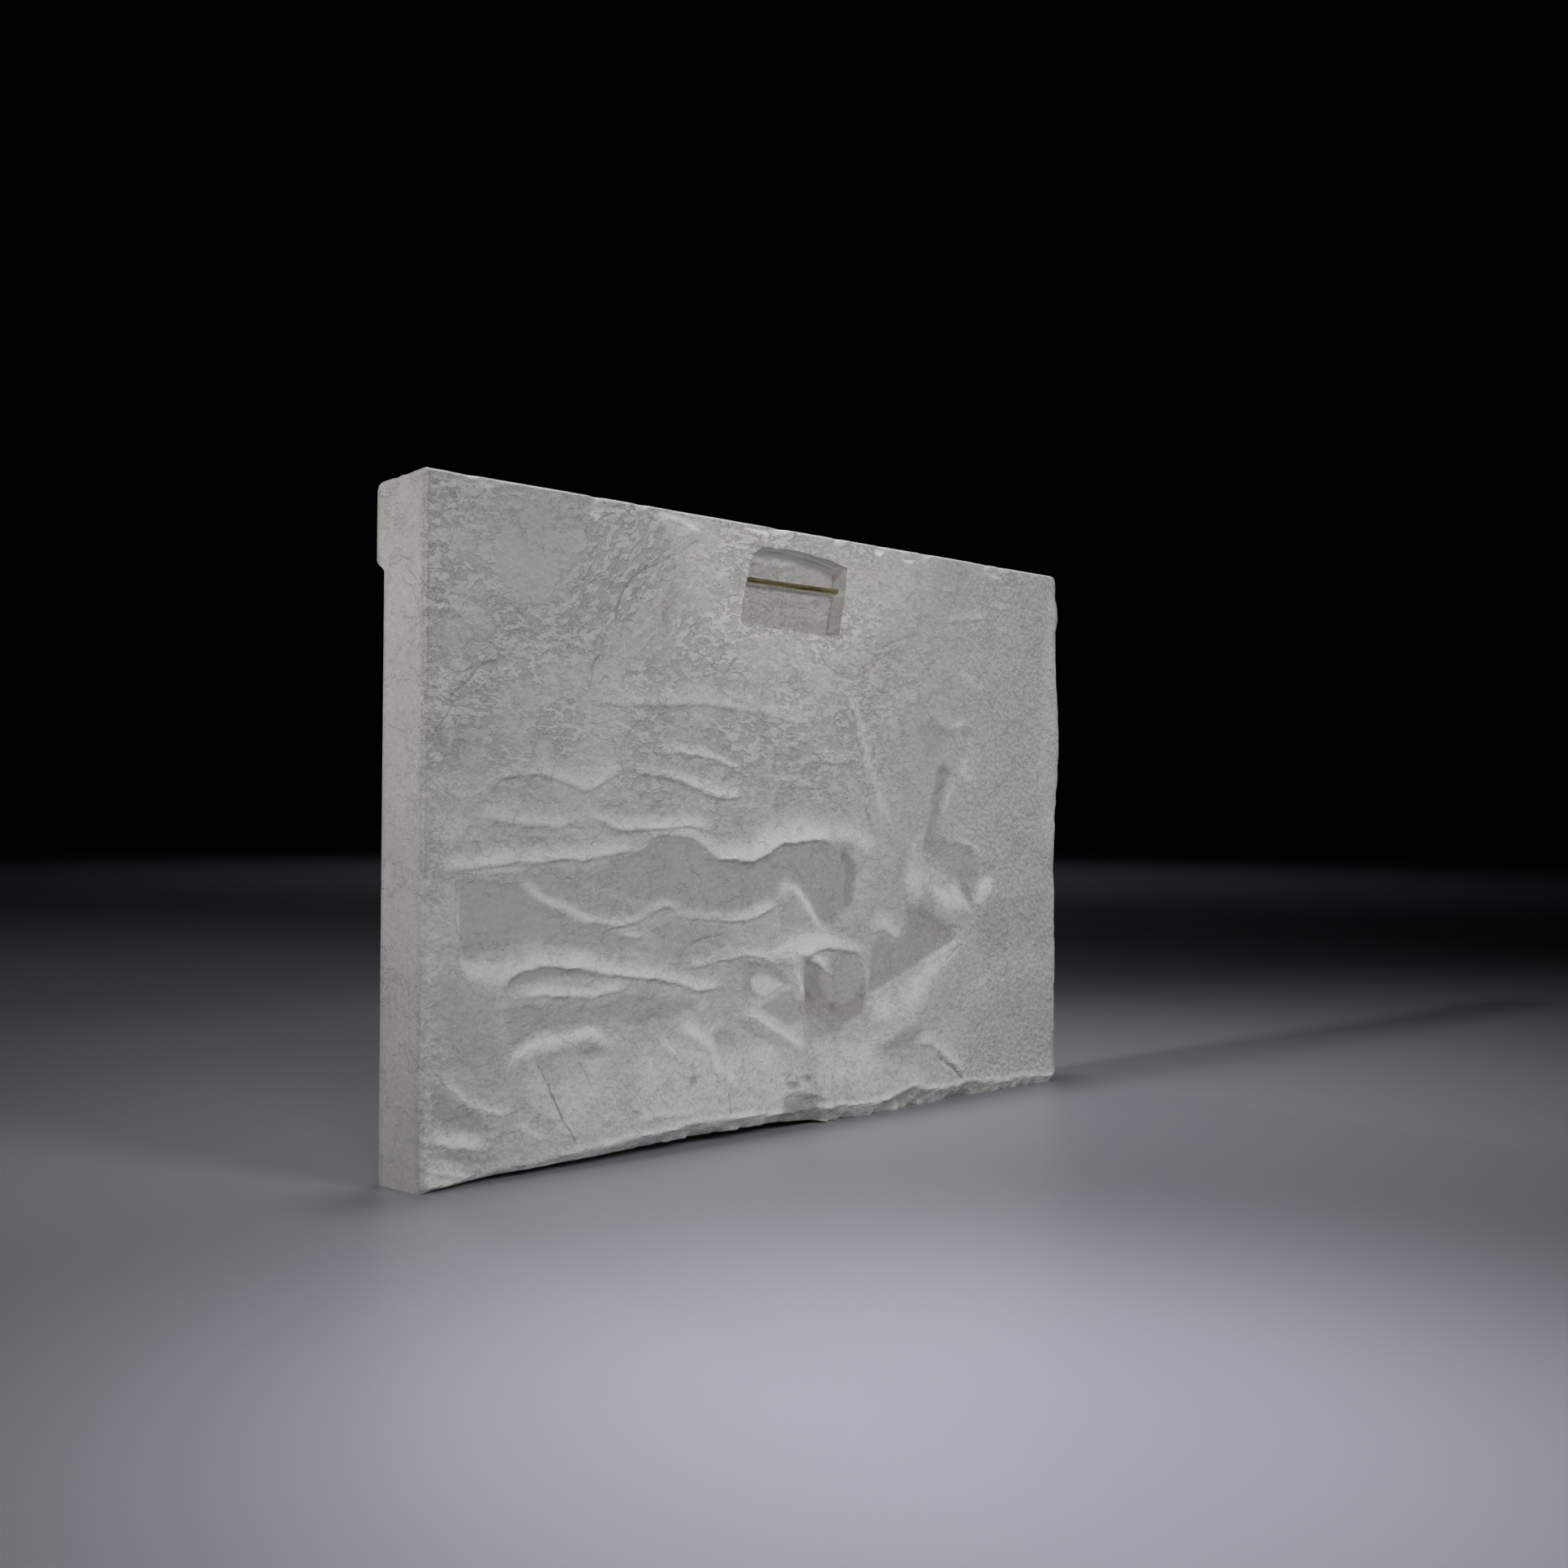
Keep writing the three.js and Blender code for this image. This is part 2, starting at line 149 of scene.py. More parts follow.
# Swells are rounded on both sides
SWELLS = (
    Fold(0.9, 0.65, 3.5, 4.5, ((62, 203), (70, 213), (81, 218.5), (94, 222.5), (108, 228), (124, 232))),
    Fold(1.5, 0.9, 5, 5, (
        (262, 220), (266, 214), (273, 218), (282, 228), (289, 235.5), (296, 241), (306, 245))),
    Fold(1.6, 0.95, 5, 10, (
        (50, 306), (58, 299), (72, 293.5), (92, 291.5), (108, 289.5), (117, 292), (126, 302))),
    Fold(1.4, 0.7, 10, 8, ((300, 184), (320, 185), (336, 191), (347, 202))),
    Fold(1.2, 0.85, 2.6, 3, ((268, 254), (273, 265), (277, 274), (281, 283), (285, 292))),
    Fold(0.9, 0.6, 7, 5, ((316, 94), (324, 106), (332, 124), (340, 145), (349, 160), (355, 178))),
    Fold(0.6, 0.65, 2.2, 2.5, ((354, 154), (359, 168), (367, 180))),
    Fold(0.7, 0.6, 4, 4, ((64, 297), (71, 308), (78, 320), (86, 335), (93, 347))),
    Fold(0.5, 0.65, 4, 3, ((286, 135), (298, 133.5), (314, 134))),
    Fold(0.4, 0.45, 2, 2, ((252, 124), (262, 129), (272, 129.5), (287, 122))),
    Fold(0.4, 0.5, 2, 2, ((52, 86), (70, 84), (84, 83), (94, 83.5))),
    Fold(0.4, 0.5, 3, 3, ((100, 308), (108, 322), (114, 336))),
    Fold(1, 0.8, 3, 3.5, ((147, 294), (149, 304), (152, 315), (158, 328), (166, 340))),
    Fold(0.9, 0.8, 5, 4, ((152, 294), (164, 300), (174, 309), (183, 317))),
    Fold(1.6, (0.6, 0.9, 0.8, 0.7, 0.8, 0.6), 8, 6, (
        (170, 291), (186, 297), (197, 305), (201, 315), (212, 325), (226, 337))),
    Fold(0.8, 0.8, 4, 4, ((214, 290), (200, 295), (192, 303))),
    Fold(0.7, 0.7, 4, 3, ((134, 341), (150, 338), (170, 340), (196, 339))),
    Fold(0.6, 0.7, 4, 4, ((318, 330), (318, 340), (322, 348))),
    Fold(0.8, 0.85, 4, 4, ((286, 322), (290, 335), (295, 346))),
    Fold(0.5, 0.7, 2.2, 2.2, ((440, 139), (446, 145), (450, 153), (455, 157))),
    Fold(0.6, 0.7, 2, 2.5, ((424, 185), (436, 187.5), (448, 193), (458, 201))),
    Fold(0.8, 0.65, 3, 3, ((258, 231), (257, 240), (260, 252))),
    Fold(0.6, 0.3, 8, 8, ((392, 176), (391, 200), (386, 225))),
    Fold((4, 4.2, 3.4, 2, 1.2), 0, (20, 23, 20, 13, 8, 8), 34, (
        (336, 309), (362, 305), (385, 296), (400, 284), (413, 274.5), (426, 267), (438, 259), (450, 249.5),
        (462, 239), (475, 226))),
    Fold(0.5, 0.35, 1.8, 1.8, ((21, 204), (20.5, 220), (22, 236), (24, 249))),
    Fold(0.5, 0.5, 2.5, 2, ((20, 202.5), (42, 201), (68, 203.5))),
    Fold(0.8, 0.75, 4, 3, ((432, 145), (424, 155), (419, 166), (416, 178))),
    Fold(0.6, 0.5, 2, 2, ((341, 264), (340.5, 272), (341, 282))),
)

# Shoulders fall away from a crisp upper edge
SHOULDERS = (
    Fold(2.1, 0, 15, 10, ((380, 212), (393, 223), (405, 231), (420, 238), (436, 243), (450, 242))),
    Fold(1.4, 0, 10, 10, ((446, 238), (462, 227), (478, 216))),
)

# Cracks and trowel creases: thin, and alike on both sides, each with a painted shadow line. The last two lie
# in the pocket, as painted shadow lines alone.
Crease = namedtuple("Crease", "depth width path")
CREASES = (
    Crease(0.8, 2, ((47, 93), (35, 96), (25, 105), (16, 113), (17, 119), (4, 134))),
    Crease(0.6, 1.6, ((22, 202), (20.5, 212), (19.5, 222), (21, 234))),
    Crease(0.8, 2.2, ((192, 12), (170, 25), (143, 38), (128, 55), (125, 68))),
    Crease(0.8, 2, ((115, 83), (110, 93), (105, 107), (85, 116))),
    Crease(0.9, 1.6, ((109, 15), (115, 11.5), (121, 8.5), (127, 7))),
    Crease(0.6, 1.8, ((189, 78), (199, 85), (209, 89), (217, 83), (229, 75), (245, 72))),
    Crease(0.6, 2.2, ((290, 68), (300, 80), (312, 84), (328, 86), (350, 72))),
    Crease(0.5, 2.2, ((308, 72), (335, 68), (365, 60), (390, 52))),
    Crease(0.5, 2, ((155, 118), (166, 114), (178, 113), (188, 118))),
    Crease(0.7, 1.8, ((174, 254), (182, 248), (190, 244), (201, 241.5), (213, 240))),
    Crease(1.1, 2.6, ((71, 301), (77, 310), (83, 321), (90, 334), (98, 347))),
    Crease(0.35, 2, ((100, 303), (106, 312), (112, 326), (117, 340))),
    Crease(0.5, 2, ((154, 319), (158, 328), (167, 339))),
    Crease(1.4, 2.4, ((409, 329), (424, 338), (438, 348))),
    Crease(0.5, 3, ((335, 163), (342, 175), (349, 187))),
    Crease(0.6, 1.8, ((416, 268), (430, 260), (444, 251), (454, 243))),
    Crease(0.6, 1.8, ((322, 104), (328, 124), (336, 148), (343, 165))),
    Crease(0.6, 1.8, ((278, 284), (279.5, 300), (281, 314), (284, 324))),
    Crease(0.7, 1.8, ((304, 84), (326, 86), (334, 78), (360, 68))),
    Crease(0.6, 2, ((211, 331), (212, 338), (211.5, 346))),
    Crease(1.2, 1.5, ((240, 44.5), (251, 45.5), (261, 48.5))),
    Crease(1.2, 1.5, ((267, 43), (284, 44), (296, 45.5), (303, 49))),
)

# A hollow has an upper and a lower wall, each of its own width, and an outline that runs clockwise. Its dust
# is the share of grey dust and painted shade in it, or of fresh powder and painted highlight where it is
# negative.
# Powder without depth is patchy.
Hollow = namedtuple("Hollow", "depth dust upper lower outline")
HOLLOWS = (
    Hollow(0.8, 0.38, 3, 6, (
        (22, 205), (60, 207), (70, 217), (92, 225), (118, 233), (140, 240), (158, 249), (126, 251),
        (95, 246), (70, 243), (45, 245), (24, 245), (21, 222))),
    Hollow(0.2, 0.3, 3, 3, (
        (66, 202), (110, 199), (129, 196.5), (108.5, 208), (130, 217.5), (149, 224), (140, 229), (124, 229),
        (108, 225), (94, 220), (81, 216), (71, 209))),
    Hollow(0.8, 0.5, 2, 6, (
        (130, 196.5), (150, 190), (166, 185), (180, 187), (192, 191), (204, 198), (220, 201), (237, 200),
        (250, 196), (263, 192), (285, 190.5), (308, 192), (322, 198), (329, 212), (325, 228), (312, 241),
        (298, 241), (286, 231), (276, 219), (266, 214), (256, 224), (240, 229), (220, 231.5), (200, 230.5),
        (182, 228), (168, 223), (150, 225), (128, 219), (104, 208))),
    Hollow(0.8, 0.6, 2, 4, (
        (52, 266), (53, 259), (58, 255.5), (66, 254), (85, 254), (105, 256.5), (122, 260.5), (105, 263),
        (82, 261), (62, 263))),
    Hollow(0.5, 0.45, 4, 5, (
        (54, 271), (108, 273), (140, 270), (178, 274), (190, 284), (150, 290), (110, 287), (72, 290),
        (58, 296))),
    Hollow(0, 0.3, 7, 7, (
        (4, 252), (20, 253), (30, 260), (45, 264), (51, 272), (56, 292), (50, 300), (30, 302), (14, 296),
        (2, 280))),
    Hollow(0, 0.3, 3, 5, (
        (158, 232), (180, 233), (215, 236), (225, 246), (205, 251), (176, 256), (163, 252), (156, 243))),
    Hollow(1.3, 0.6, 8, 3.5, (
        (343, 254), (350, 248), (358, 246), (366, 251), (374, 249), (378, 238), (379, 226), (392, 228),
        (406, 235), (420, 241), (432, 246), (431, 256), (420, 261.5), (400, 267.5), (375, 277), (352, 284),
        (342, 287), (340, 270))),
    Hollow(0, 0.3, 5, 5, ((408, 246), (420, 243), (430, 249), (424, 257), (410, 258))),
    Hollow(0, 0.28, 25, 25, ((436, 300), (480, 276), (550, 280), (552, 350), (470, 352), (436, 330))),
    Hollow(0, 0.3, 20, 20, ((444, 236), (474, 218), (540, 222), (544, 262), (476, 276), (440, 262))),
    Hollow(1, 0.42, 3, 6, (
        (398, 194), (412, 187), (428, 189), (446, 194), (458, 204), (456, 214), (450, 224), (440, 226),
        (428, 215), (412, 206))),
    Hollow(0.7, 0.6, 4, 4, (
        (407, 141), (416, 135), (426, 140), (422, 152), (417, 165), (413, 180), (404, 193), (395, 196),
        (397, 185), (402, 172), (405, 155))),
    Hollow(0.3, 0.38, 5, 7, (
        (384, 114), (404, 104), (424, 114), (448, 117), (424, 124), (402, 138), (394, 130))),
    Hollow(0.8, 0.5, 2.5, 5, (
        (102, 299), (109, 294.5), (118, 295.5), (122, 301), (116, 306.5), (106, 305.5))),
    Hollow(0.7, 0.42, 2.5, 5, (
        (195, 303), (202, 297.5), (212, 296), (221, 300), (222, 307), (213, 313), (203, 312))),
    Hollow(0.8, 0.5, 2, 2, ((220, 291), (230, 293), (240, 299), (247, 306), (240, 306), (229, 300))),
    Hollow(-0.3, -0.6, 9, 9, ((224, 311), (238, 303), (254, 306), (260, 318), (246, 328), (230, 322))),
    Hollow(-0.3, -0.85, 3, 2, (
        (3, 349), (10, 346), (24, 350.5), (42, 355), (38, 358), (18, 358), (4, 357))),
    Hollow(0, 0.3, 4, 4, (
        (150, 300), (158, 310), (168, 316), (174, 330), (166, 334), (158, 324), (152, 312))),
    Hollow(0, 0.25, 5, 5, ((120, 304), (136, 298), (146, 310), (150, 326), (140, 338), (126, 330))),
    Hollow(0, 0.3, 4, 4, (
        (212, 318), (224, 322), (236, 330), (250, 334), (252, 342), (236, 342), (222, 334))),
    Hollow(0.4, 0.25, 6, 6, ((6, 127), (24, 124), (42, 131), (34, 143), (12, 150))),
    Hollow(0.8, 0.65, 3, 4, (
        (8, 305), (20, 314), (34, 323), (46, 333), (44, 337), (30, 335), (18, 331), (7, 325))),
    Hollow(0.4, 0.5, 3, 4, ((10, 340), (28, 343.5), (48, 347), (44, 353), (24, 350), (10, 345))),
    Hollow(0.7, 0.55, 7, 6, (
        (342, 318), (356, 310), (378, 306), (394, 309), (386, 319), (362, 324), (346, 324))),
    Hollow(1.8, 1, 1.6, 3, ((258, 342), (268, 339.5), (280, 341), (291, 343), (294, 364), (256, 364))),
    Hollow(0.6, 0.85, 3, 3, (
        (313, 190), (323, 194), (331, 203), (330, 214), (326, 229), (320, 231), (317, 219), (318, 207),
        (314, 198))),
    Hollow(1.2, 0.48, 10, 9, (
        (292, 264), (310, 257), (328, 257), (338, 260), (342, 272), (342, 288), (332, 298), (316, 299),
        (300, 294), (288, 287), (286, 274))),
    Hollow(0, 0.72, 6, 5, (
        (278, 274), (290, 275), (300, 281), (312, 286), (328, 284), (340, 270), (341, 290), (332, 300),
        (314, 303), (300, 300), (288, 296), (278, 292))),
    Hollow(0.3, 0.5, 4, 7, (
        (280, 287), (298, 294), (316, 301), (328, 303), (312, 309), (294, 311), (281, 309))),
    Hollow(2, 0.8, 5, 9, (
        (281, 260), (288, 258), (296, 264), (300, 275), (303, 288), (290, 293), (280, 290), (279, 270))),
    Hollow(0.5, 0.7, 5, 6, ((281, 270), (290, 270), (297, 277), (302, 287), (290, 291), (280.5, 288))),
    Hollow(1.5, 0.5, 4, 5, (
        (229, 258), (242, 257.5), (256, 261), (267, 268), (271, 276), (262, 279), (250, 283), (240, 285),
        (232, 281), (229, 270))),
    Hollow(-0.5, -0.72, 6, 2.5, (
        (235, 268), (245, 263), (256, 267), (264, 274), (256, 278), (247, 281), (239, 278))),
    Hollow(0.8, 0.45, 3, 4, (
        (243, 286), (254, 281), (266, 277), (276, 284), (280, 292), (272, 301), (258, 296))),
    Hollow(0, 0.4, 2.5, 2.5, ((226, 257), (231, 258), (234, 280), (237, 288), (231, 286), (227, 272))),
    Hollow(0, 0.3, 3, 3, ((260, 227), (266, 222), (274, 226), (284, 238), (274, 240), (262, 238))),
    Hollow(0, -0.55, 3.5, 20, (
        (339, 289), (352, 285), (370, 279), (386, 273), (402, 267.5), (420, 261.5), (432, 260), (424, 272),
        (406, 287), (392, 300), (372, 312), (354, 312), (342, 304))),
    Hollow(0, -0.46, 16, 8, (
        (284, 304), (320, 307), (346, 302), (362, 312), (346, 321), (384, 326), (402, 340), (394, 347),
        (340, 350), (296, 348), (286, 325))),
    Hollow(0, -0.44, 20, 6, (
        (60, 304), (88, 300), (120, 296), (180, 293), (214, 295), (250, 305), (284, 320), (284, 342),
        (250, 346), (190, 344), (140, 348), (104, 346), (84, 340), (66, 322))),
    Hollow(0, -0.8, 3, 12, (
        (392, 199), (412, 206), (425, 213), (437, 222), (448, 232), (452, 239), (436, 241), (420, 237),
        (405, 230), (391, 216))),
    Hollow(0, -0.5, 7, 7, ((381, 196), (391, 180), (397, 198), (396, 226), (384, 230), (376, 214))),
    Hollow(0, -0.75, 6, 6, ((448, 230), (455, 213), (463, 209), (475, 214), (468, 227), (456, 235))),
    Hollow(-0.6, -0.7, 7, 5, (
        (18, 242), (40, 244), (62, 243), (60, 253), (53, 262), (40, 262), (27, 257), (21, 250))),
    Hollow(-0.6, -0.6, 5, 5, ((9, 193), (22, 191), (30, 196), (24, 202), (16, 206))),
    Hollow(-0.4, -0.65, 7, 7, ((256, 220), (262, 210), (269, 209), (276, 219), (268, 223), (261, 224))),
    Hollow(-0.8, -0.85, 9, 6, (
        (246, 252), (262, 243), (284, 239), (302, 240), (320, 245), (326, 254), (296, 256), (276, 264),
        (260, 260))),
    Hollow(0, -0.5, 6, 6, ((4, 100), (12, 96), (22, 104), (14, 112), (6, 112))),
    Hollow(0, -0.42, 6, 6, ((12, 118), (22, 113), (28, 124), (18, 134), (8, 136))),
    Hollow(0, -0.55, 6, 6, ((6, 150), (18, 147), (32, 160), (26, 168), (14, 164))),
    Hollow(0, -0.5, 6, 6, ((4, 170), (18, 168), (30, 178), (20, 190), (6, 186))),
    Hollow(-0.3, -0.45, 4, 4, ((373, 92), (380, 87), (389, 90), (388, 98), (378, 100))),
    Hollow(-0.3, -0.55, 3, 3, ((432, 144), (436, 133), (444, 134), (441, 142), (448, 146), (440, 151))),
    Hollow(0, -0.5, 6, 6, ((428, 77), (446, 73), (468, 84), (446, 90))),
    Hollow(0, -0.35, 8, 8, ((526, 30), (548, 24), (552, 180), (528, 185))),
)

# Outlines of chips knocked out along the top edge, white inside
CHIP_DEPTH, CHIP_WALL = 1.2, 1.5
CHIPS = (
    ((106, 9), (112, 6), (116, 9), (112, 14)),
    ((116, 5), (132, 2), (134, 5), (120, 8)),
    ((158, 1), (178, 2), (191, 9), (184, 9), (170, 5), (160, 7)),
    ((226, 3), (246, 1), (246, 5), (230, 5)),
    ((372, 5), (384, 5), (382, 8), (374, 8)),
    ((344, 1), (352, 3), (350, 6), (344, 6)),
    ((460, 5), (470, 4), (480, 8), (468, 8)),
    ((34, 1), (41, 2), (40, 5), (35, 5)),
    ((4, 8), (12, 7), (13, 9), (5, 10)),
)

# A dent is an oval dip, or a swelling where its depth is negative; its core share is flat
Dent = namedtuple("Dent", "across down long short depth turn core")
DENTS = (
    Dent(20, 346, 18, 6, 0.6, 18, 0.2),
    Dent(112, 302, 11, 6, 0.7, 0, 0.2),
    Dent(376, 150, 26, 62, 0.5, -5, 0.1),
    Dent(18, 198, 9, 8, -0.6, 0, 0.1),
    Dent(36, 252, 18, 9, -0.6, 0, 0.1),
    Dent(276, 252, 24, 16, -1.2, 0, 0.1),
    Dent(442, 150, 18, 30, -0.5, 0, 0.1),
    Dent(8, 15, 9, 8, 0.8, 0, 0.3),
    Dent(29, 19, 11, 9, 0.7, 20, 0.2),
)

# Where the plaster is finer than elsewhere, or coarser where the depth is negative
SMOOTH_SPOTS = (
    Dent(66, 34, 30, 30, 0.35, 0, 0.3),
    Dent(62, 222, 46, 20, 0.35, 10, 0.4),
    Dent(440, 205, 30, 18, 0.6, 20, 0.3),
    Dent(424, 252, 16, 12, -1.0, -30, 0.3),
    Dent(24, 18, 18, 14, -1.0, 0, 0.4),
    Dent(15, 290, 10, 8, -0.8, 0, 0.3),
    Dent(184, 318, 9, 12, -1.0, 0, 0.3),
    Dent(266, 332, 14, 7, -1.0, 0, 0.3),
    Dent(240, 297, 16, 8, -0.6, 20, 0.3),
    Dent(480, 258, 12, 6, -0.8, 0, 0.3),
)

# Brown stains, and painted shadow in the pits and among the crumbs, the deepest in the pits
STAINS_AND_PIT_SHADOWS = (
    Dent(19, 25, 3.5, 1.6, 0.55, 10, 0.1),
    Dent(27, 24, 3.5, 1.6, 0.6, -25, 0.1),
    Dent(31, 18, 1.8, 4, 0.5, 10, 0.1),
    Dent(6, 13, 5, 1.8, 0.4, 20, 0.1),
    Dent(164, 60, 7, 22, 0.35, 5, 0.1),
    Dent(183, 322, 7, 4, 0.75, -20, 0.1),
    Dent(181, 315.5, 7, 2.6, 0.5, 5, 0.1),
    Dent(288, 282.5, 11, 5, 0.9, 25, 0.3),
    Dent(306, 289, 7, 4, 0.85, 15, 0.2),
    Dent(290, 272, 9, 11, 0.35, 0, 0.3),
    Dent(446, 223, 7, 5, 0.75, 0, 0.1),
    Dent(340, 171, 2.5, 9, 0.6, -25, 0.1),
    Dent(440, 210, 9, 7, 0.22, 0, 0.1),
    Dent(416, 141, 3, 2, 0.7, 0, 0.1),
    Dent(265, 332.5, 9, 3.4, 1, 5, 0.1),
    Dent(278, 330, 8, 3.2, 0.9, 10, 0.1),
    Dent(262, 327, 6, 2.6, 0.8, 0, 0.1),
    Dent(545, 335, 6, 22, 0.5, 0, 0.1),
)

# Patches that are bare of the trowelled skin, and the patch where its flakes run on a slant
BARE_PATCHES = (
    Dent(68, 36, 36, 40, 0.85, -15, 0.5),
    Dent(60, 224, 46, 20, 0.25, 10, 0.4),
    Dent(18, 85, 22, 14, 0.6, 0, 0.2),
)
SLANT_PATCH = Dent(140, 48, 85, 62, 1, 0, 0.3)

# Lower rim of the back and the line of its foot below, both down from the top edge
RIM_LINE = (
    (0, 358), (20, 357), (40, 355.5), (70, 354), (100, 351.5), (160, 348), (185, 346), (245, 348.5),
    (262, 349), (296, 350.5), (310, 350), (332, 353), (348, 352), (365, 349), (379, 346), (395, 349.5),
    (412, 352), (430, 352), (445, 350), (462, 352.5), (485, 354.5), (505, 354), (525, 356), (550, 356),
)
FOOT_LINE = (
    (0, 360), (8, 358.8), (40, 356.8), (110, 355.6), (160, 354.6), (250, 354.2), (285, 357), (300, 359.5),
    (340, 360), (550, 360),
)

# Sides of the pocket: across of its left and right walls, and down of its top and bottom. Its cutter has so
# many columns, rows and layers of cells, its walls lean by the draft, and it stands proud of the back.
POCKET_CELLS = (48, 26, 6)
POCKET_DRAFT, POCKET_PROUD = 1.2, 6
POCKET_LEFT = ((0, 241), (0.12, 233), (0.33, 229), (0.75, 224), (1, 222.5))
POCKET_RIGHT = ((0, 318), (0.5, 315), (1, 311))
POCKET_TOP = ((0, 13.5), (0.4, 12.5), (0.75, 15), (1, 18))
POCKET_BOTTOM = ((0, 58.5), (0.3, 60), (0.5, 59.5), (0.85, 61.5), (1, 60.5))

# Front: raised band, rosettes and hung cloth, mirrored about the middle
ROSETTE_ACROSS, ROSETTE_DOWN, ROSETTE_RADIUS, ROSETTE_RISE = 92.0, 104.0, 30.0, 7.5
HEART_RADIUS, HEART_RISE = 14.0, 3.0
PETALS = 8
SWAG_TOP, SWAG_TOP_SAG, SWAG_LOW, SWAG_LOW_SAG = 8.0, 50.0, 24.0, 156.0
SWAG_FOLDS, SWAG_CREST, SWAG_EDGE = 3, 0.55, 7.0
TAIL_INSET, TAIL_SPREAD, TAIL_LOW, TAIL_HEM = 12.0, 14.0, 300.0, 17.0


class ReliefSizes(bpy.types.PropertyGroup):
    """Sizes of the relief's fine surface"""

    cell_width: FloatProperty(
        name="Cell width", description="Width of a cell of the back's surface",
        default=2.6 * MM, unit="LENGTH"
    )
    cell_height: FloatProperty(
        name="Cell height", description="Height of a cell of the back's surface",
        default=1.4 * MM, unit="LENGTH"
    )
    layers: IntProperty(name="Layers", description="Rows of cells across the narrow sides", default=9, min=3)
    pocket_depth: FloatProperty(
        name="Pocket depth", description="Depth of the hanging pocket", default=10.5 * MM, unit="LENGTH"
    )
    rod_radius: FloatProperty(
        name="Rod radius", description="Radius of the brass rod",
        default=(rod_high.z - rod_low.z) / 2, unit="LENGTH"
    )
    band_height: FloatProperty(
        name="Band height", description="Height of the raised band on the front",
        default=46 * MM, unit="LENGTH"
    )
    band_rise: FloatProperty(
        name="Band rise", description="How far the band stands off the front",
        default=6.5 * MM, unit="LENGTH"
    )


class ReliefColours(bpy.types.PropertyGroup):
    """Colours of the plaster, the rod and the stage"""

    plaster: FloatVectorProperty(
        name="Plaster", description="Clean plaster", subtype="COLOR", size=3,
        default=(0.625, 0.617, 0.600)
    )
    shade: FloatVectorProperty(
        name="Dull plaster", description="Plaster dulled by dust", subtype="COLOR", size=3,
        default=(0.420, 0.415, 0.400)
    )
    # grey of the dust, also used for painted shade in the hollows, on the pocket floor and along the edge at
    # +X
    dust: FloatVectorProperty(
        name="Dust", description="Grey dust in the hollows", subtype="COLOR", size=3,
        default=(0.330, 0.323, 0.308)
    )
    # white of the powder, also used for painted highlights on upward slopes and in the pocket's shadows
    powder_and_highlight: FloatVectorProperty(
        name="Powder", description="Fresh white plaster on the ridges", subtype="COLOR", size=3,
        default=(0.755, 0.75, 0.74)
    )
    # brown of the stains, also used for painted shadow in the pits and for the painted shadow lines
    stain_and_shadow: FloatVectorProperty(
        name="Stain", description="Brownish stains in pits", subtype="COLOR", size=3,
        default=(0.25, 0.236, 0.20)
    )
    brass: FloatVectorProperty(
        name="Brass", description="Rubbed brass of the rod", subtype="COLOR", size=3,
        default=(0.68, 0.56, 0.24)
    )
    tarnish: FloatVectorProperty(
        name="Tarnish", description="Dark brown film on the brass", subtype="COLOR", size=3,
        default=(0.16, 0.12, 0.05)
    )
    floor: FloatVectorProperty(
        name="Floor", description="Pale floor", subtype="COLOR", size=3, default=(0.270, 0.280, 0.318)
    )


def smooth(low, high, value):
    """Eased step from 0 at low to 1 at high."""
    share = np.clip((value - low) / (high - low), 0, 1)
    return share * share * (3 - 2 * share)


def bell(share):
    """1 at the middle of a fold, falling to 0 at its width."""
    return np.clip(1 - share * share, 0, 1) ** 2


def along(table, place):
    """Value of a line given by a few points."""
    spots, values = zip(*table)
    return np.interp(place, spots, values)


def noise(across, down, size, seed):
    """Soft lumps from -1 to 1, about size apart."""
    cells = 256
    lattice = np.random.default_rng(seed).uniform(-1, 1, (cells, cells))
    column, row = np.floor(across / size).astype(int), np.floor(down / size).astype(int)
    u, v = smooth(0, 1, across / size - column), smooth(0, 1, down / size - row)
    left, right = column % cells, (column + 1) % cells
    top, low = row % cells, (row + 1) % cells
    upper = lattice[top, left] * (1 - u) + lattice[top, right] * u
    lower = lattice[low, left] * (1 - u) + lattice[low, right] * u
    return upper * (1 - v) + lower * v


def rough(across, down, size, seed, octaves=3):
    """Lumps with smaller lumps on them."""
    total = np.zeros_like(across)
    for octave in range(octaves):
        total += noise(across, down, size / 2**octave, seed + octave) / 2**octave
    return total


def curve_points(points, closed=False, steps=8):
    """Smooth curve through a few points."""
    spots = np.array(points, float)
    ends = (spots[-1:], spots[:2]) if closed else (2 * spots[:1] - spots[1:2], 2 * spots[-1:] - spots[-2:-1])
    spots = np.vstack([ends[0], spots, ends[1]])
    share = (np.arange(steps) / steps)[:, None]
    pieces = []
    for a, b, c, d in zip(spots, spots[1:], spots[2:], spots[3:]):
        pieces.append(
            b + 0.5 * share * (c - a + share * (2 * a - 5 * b + 4 * c - d + share * (3 * b - a - 3 * c + d)))
        )
    return np.vstack(pieces + [spots[-2:-1]])


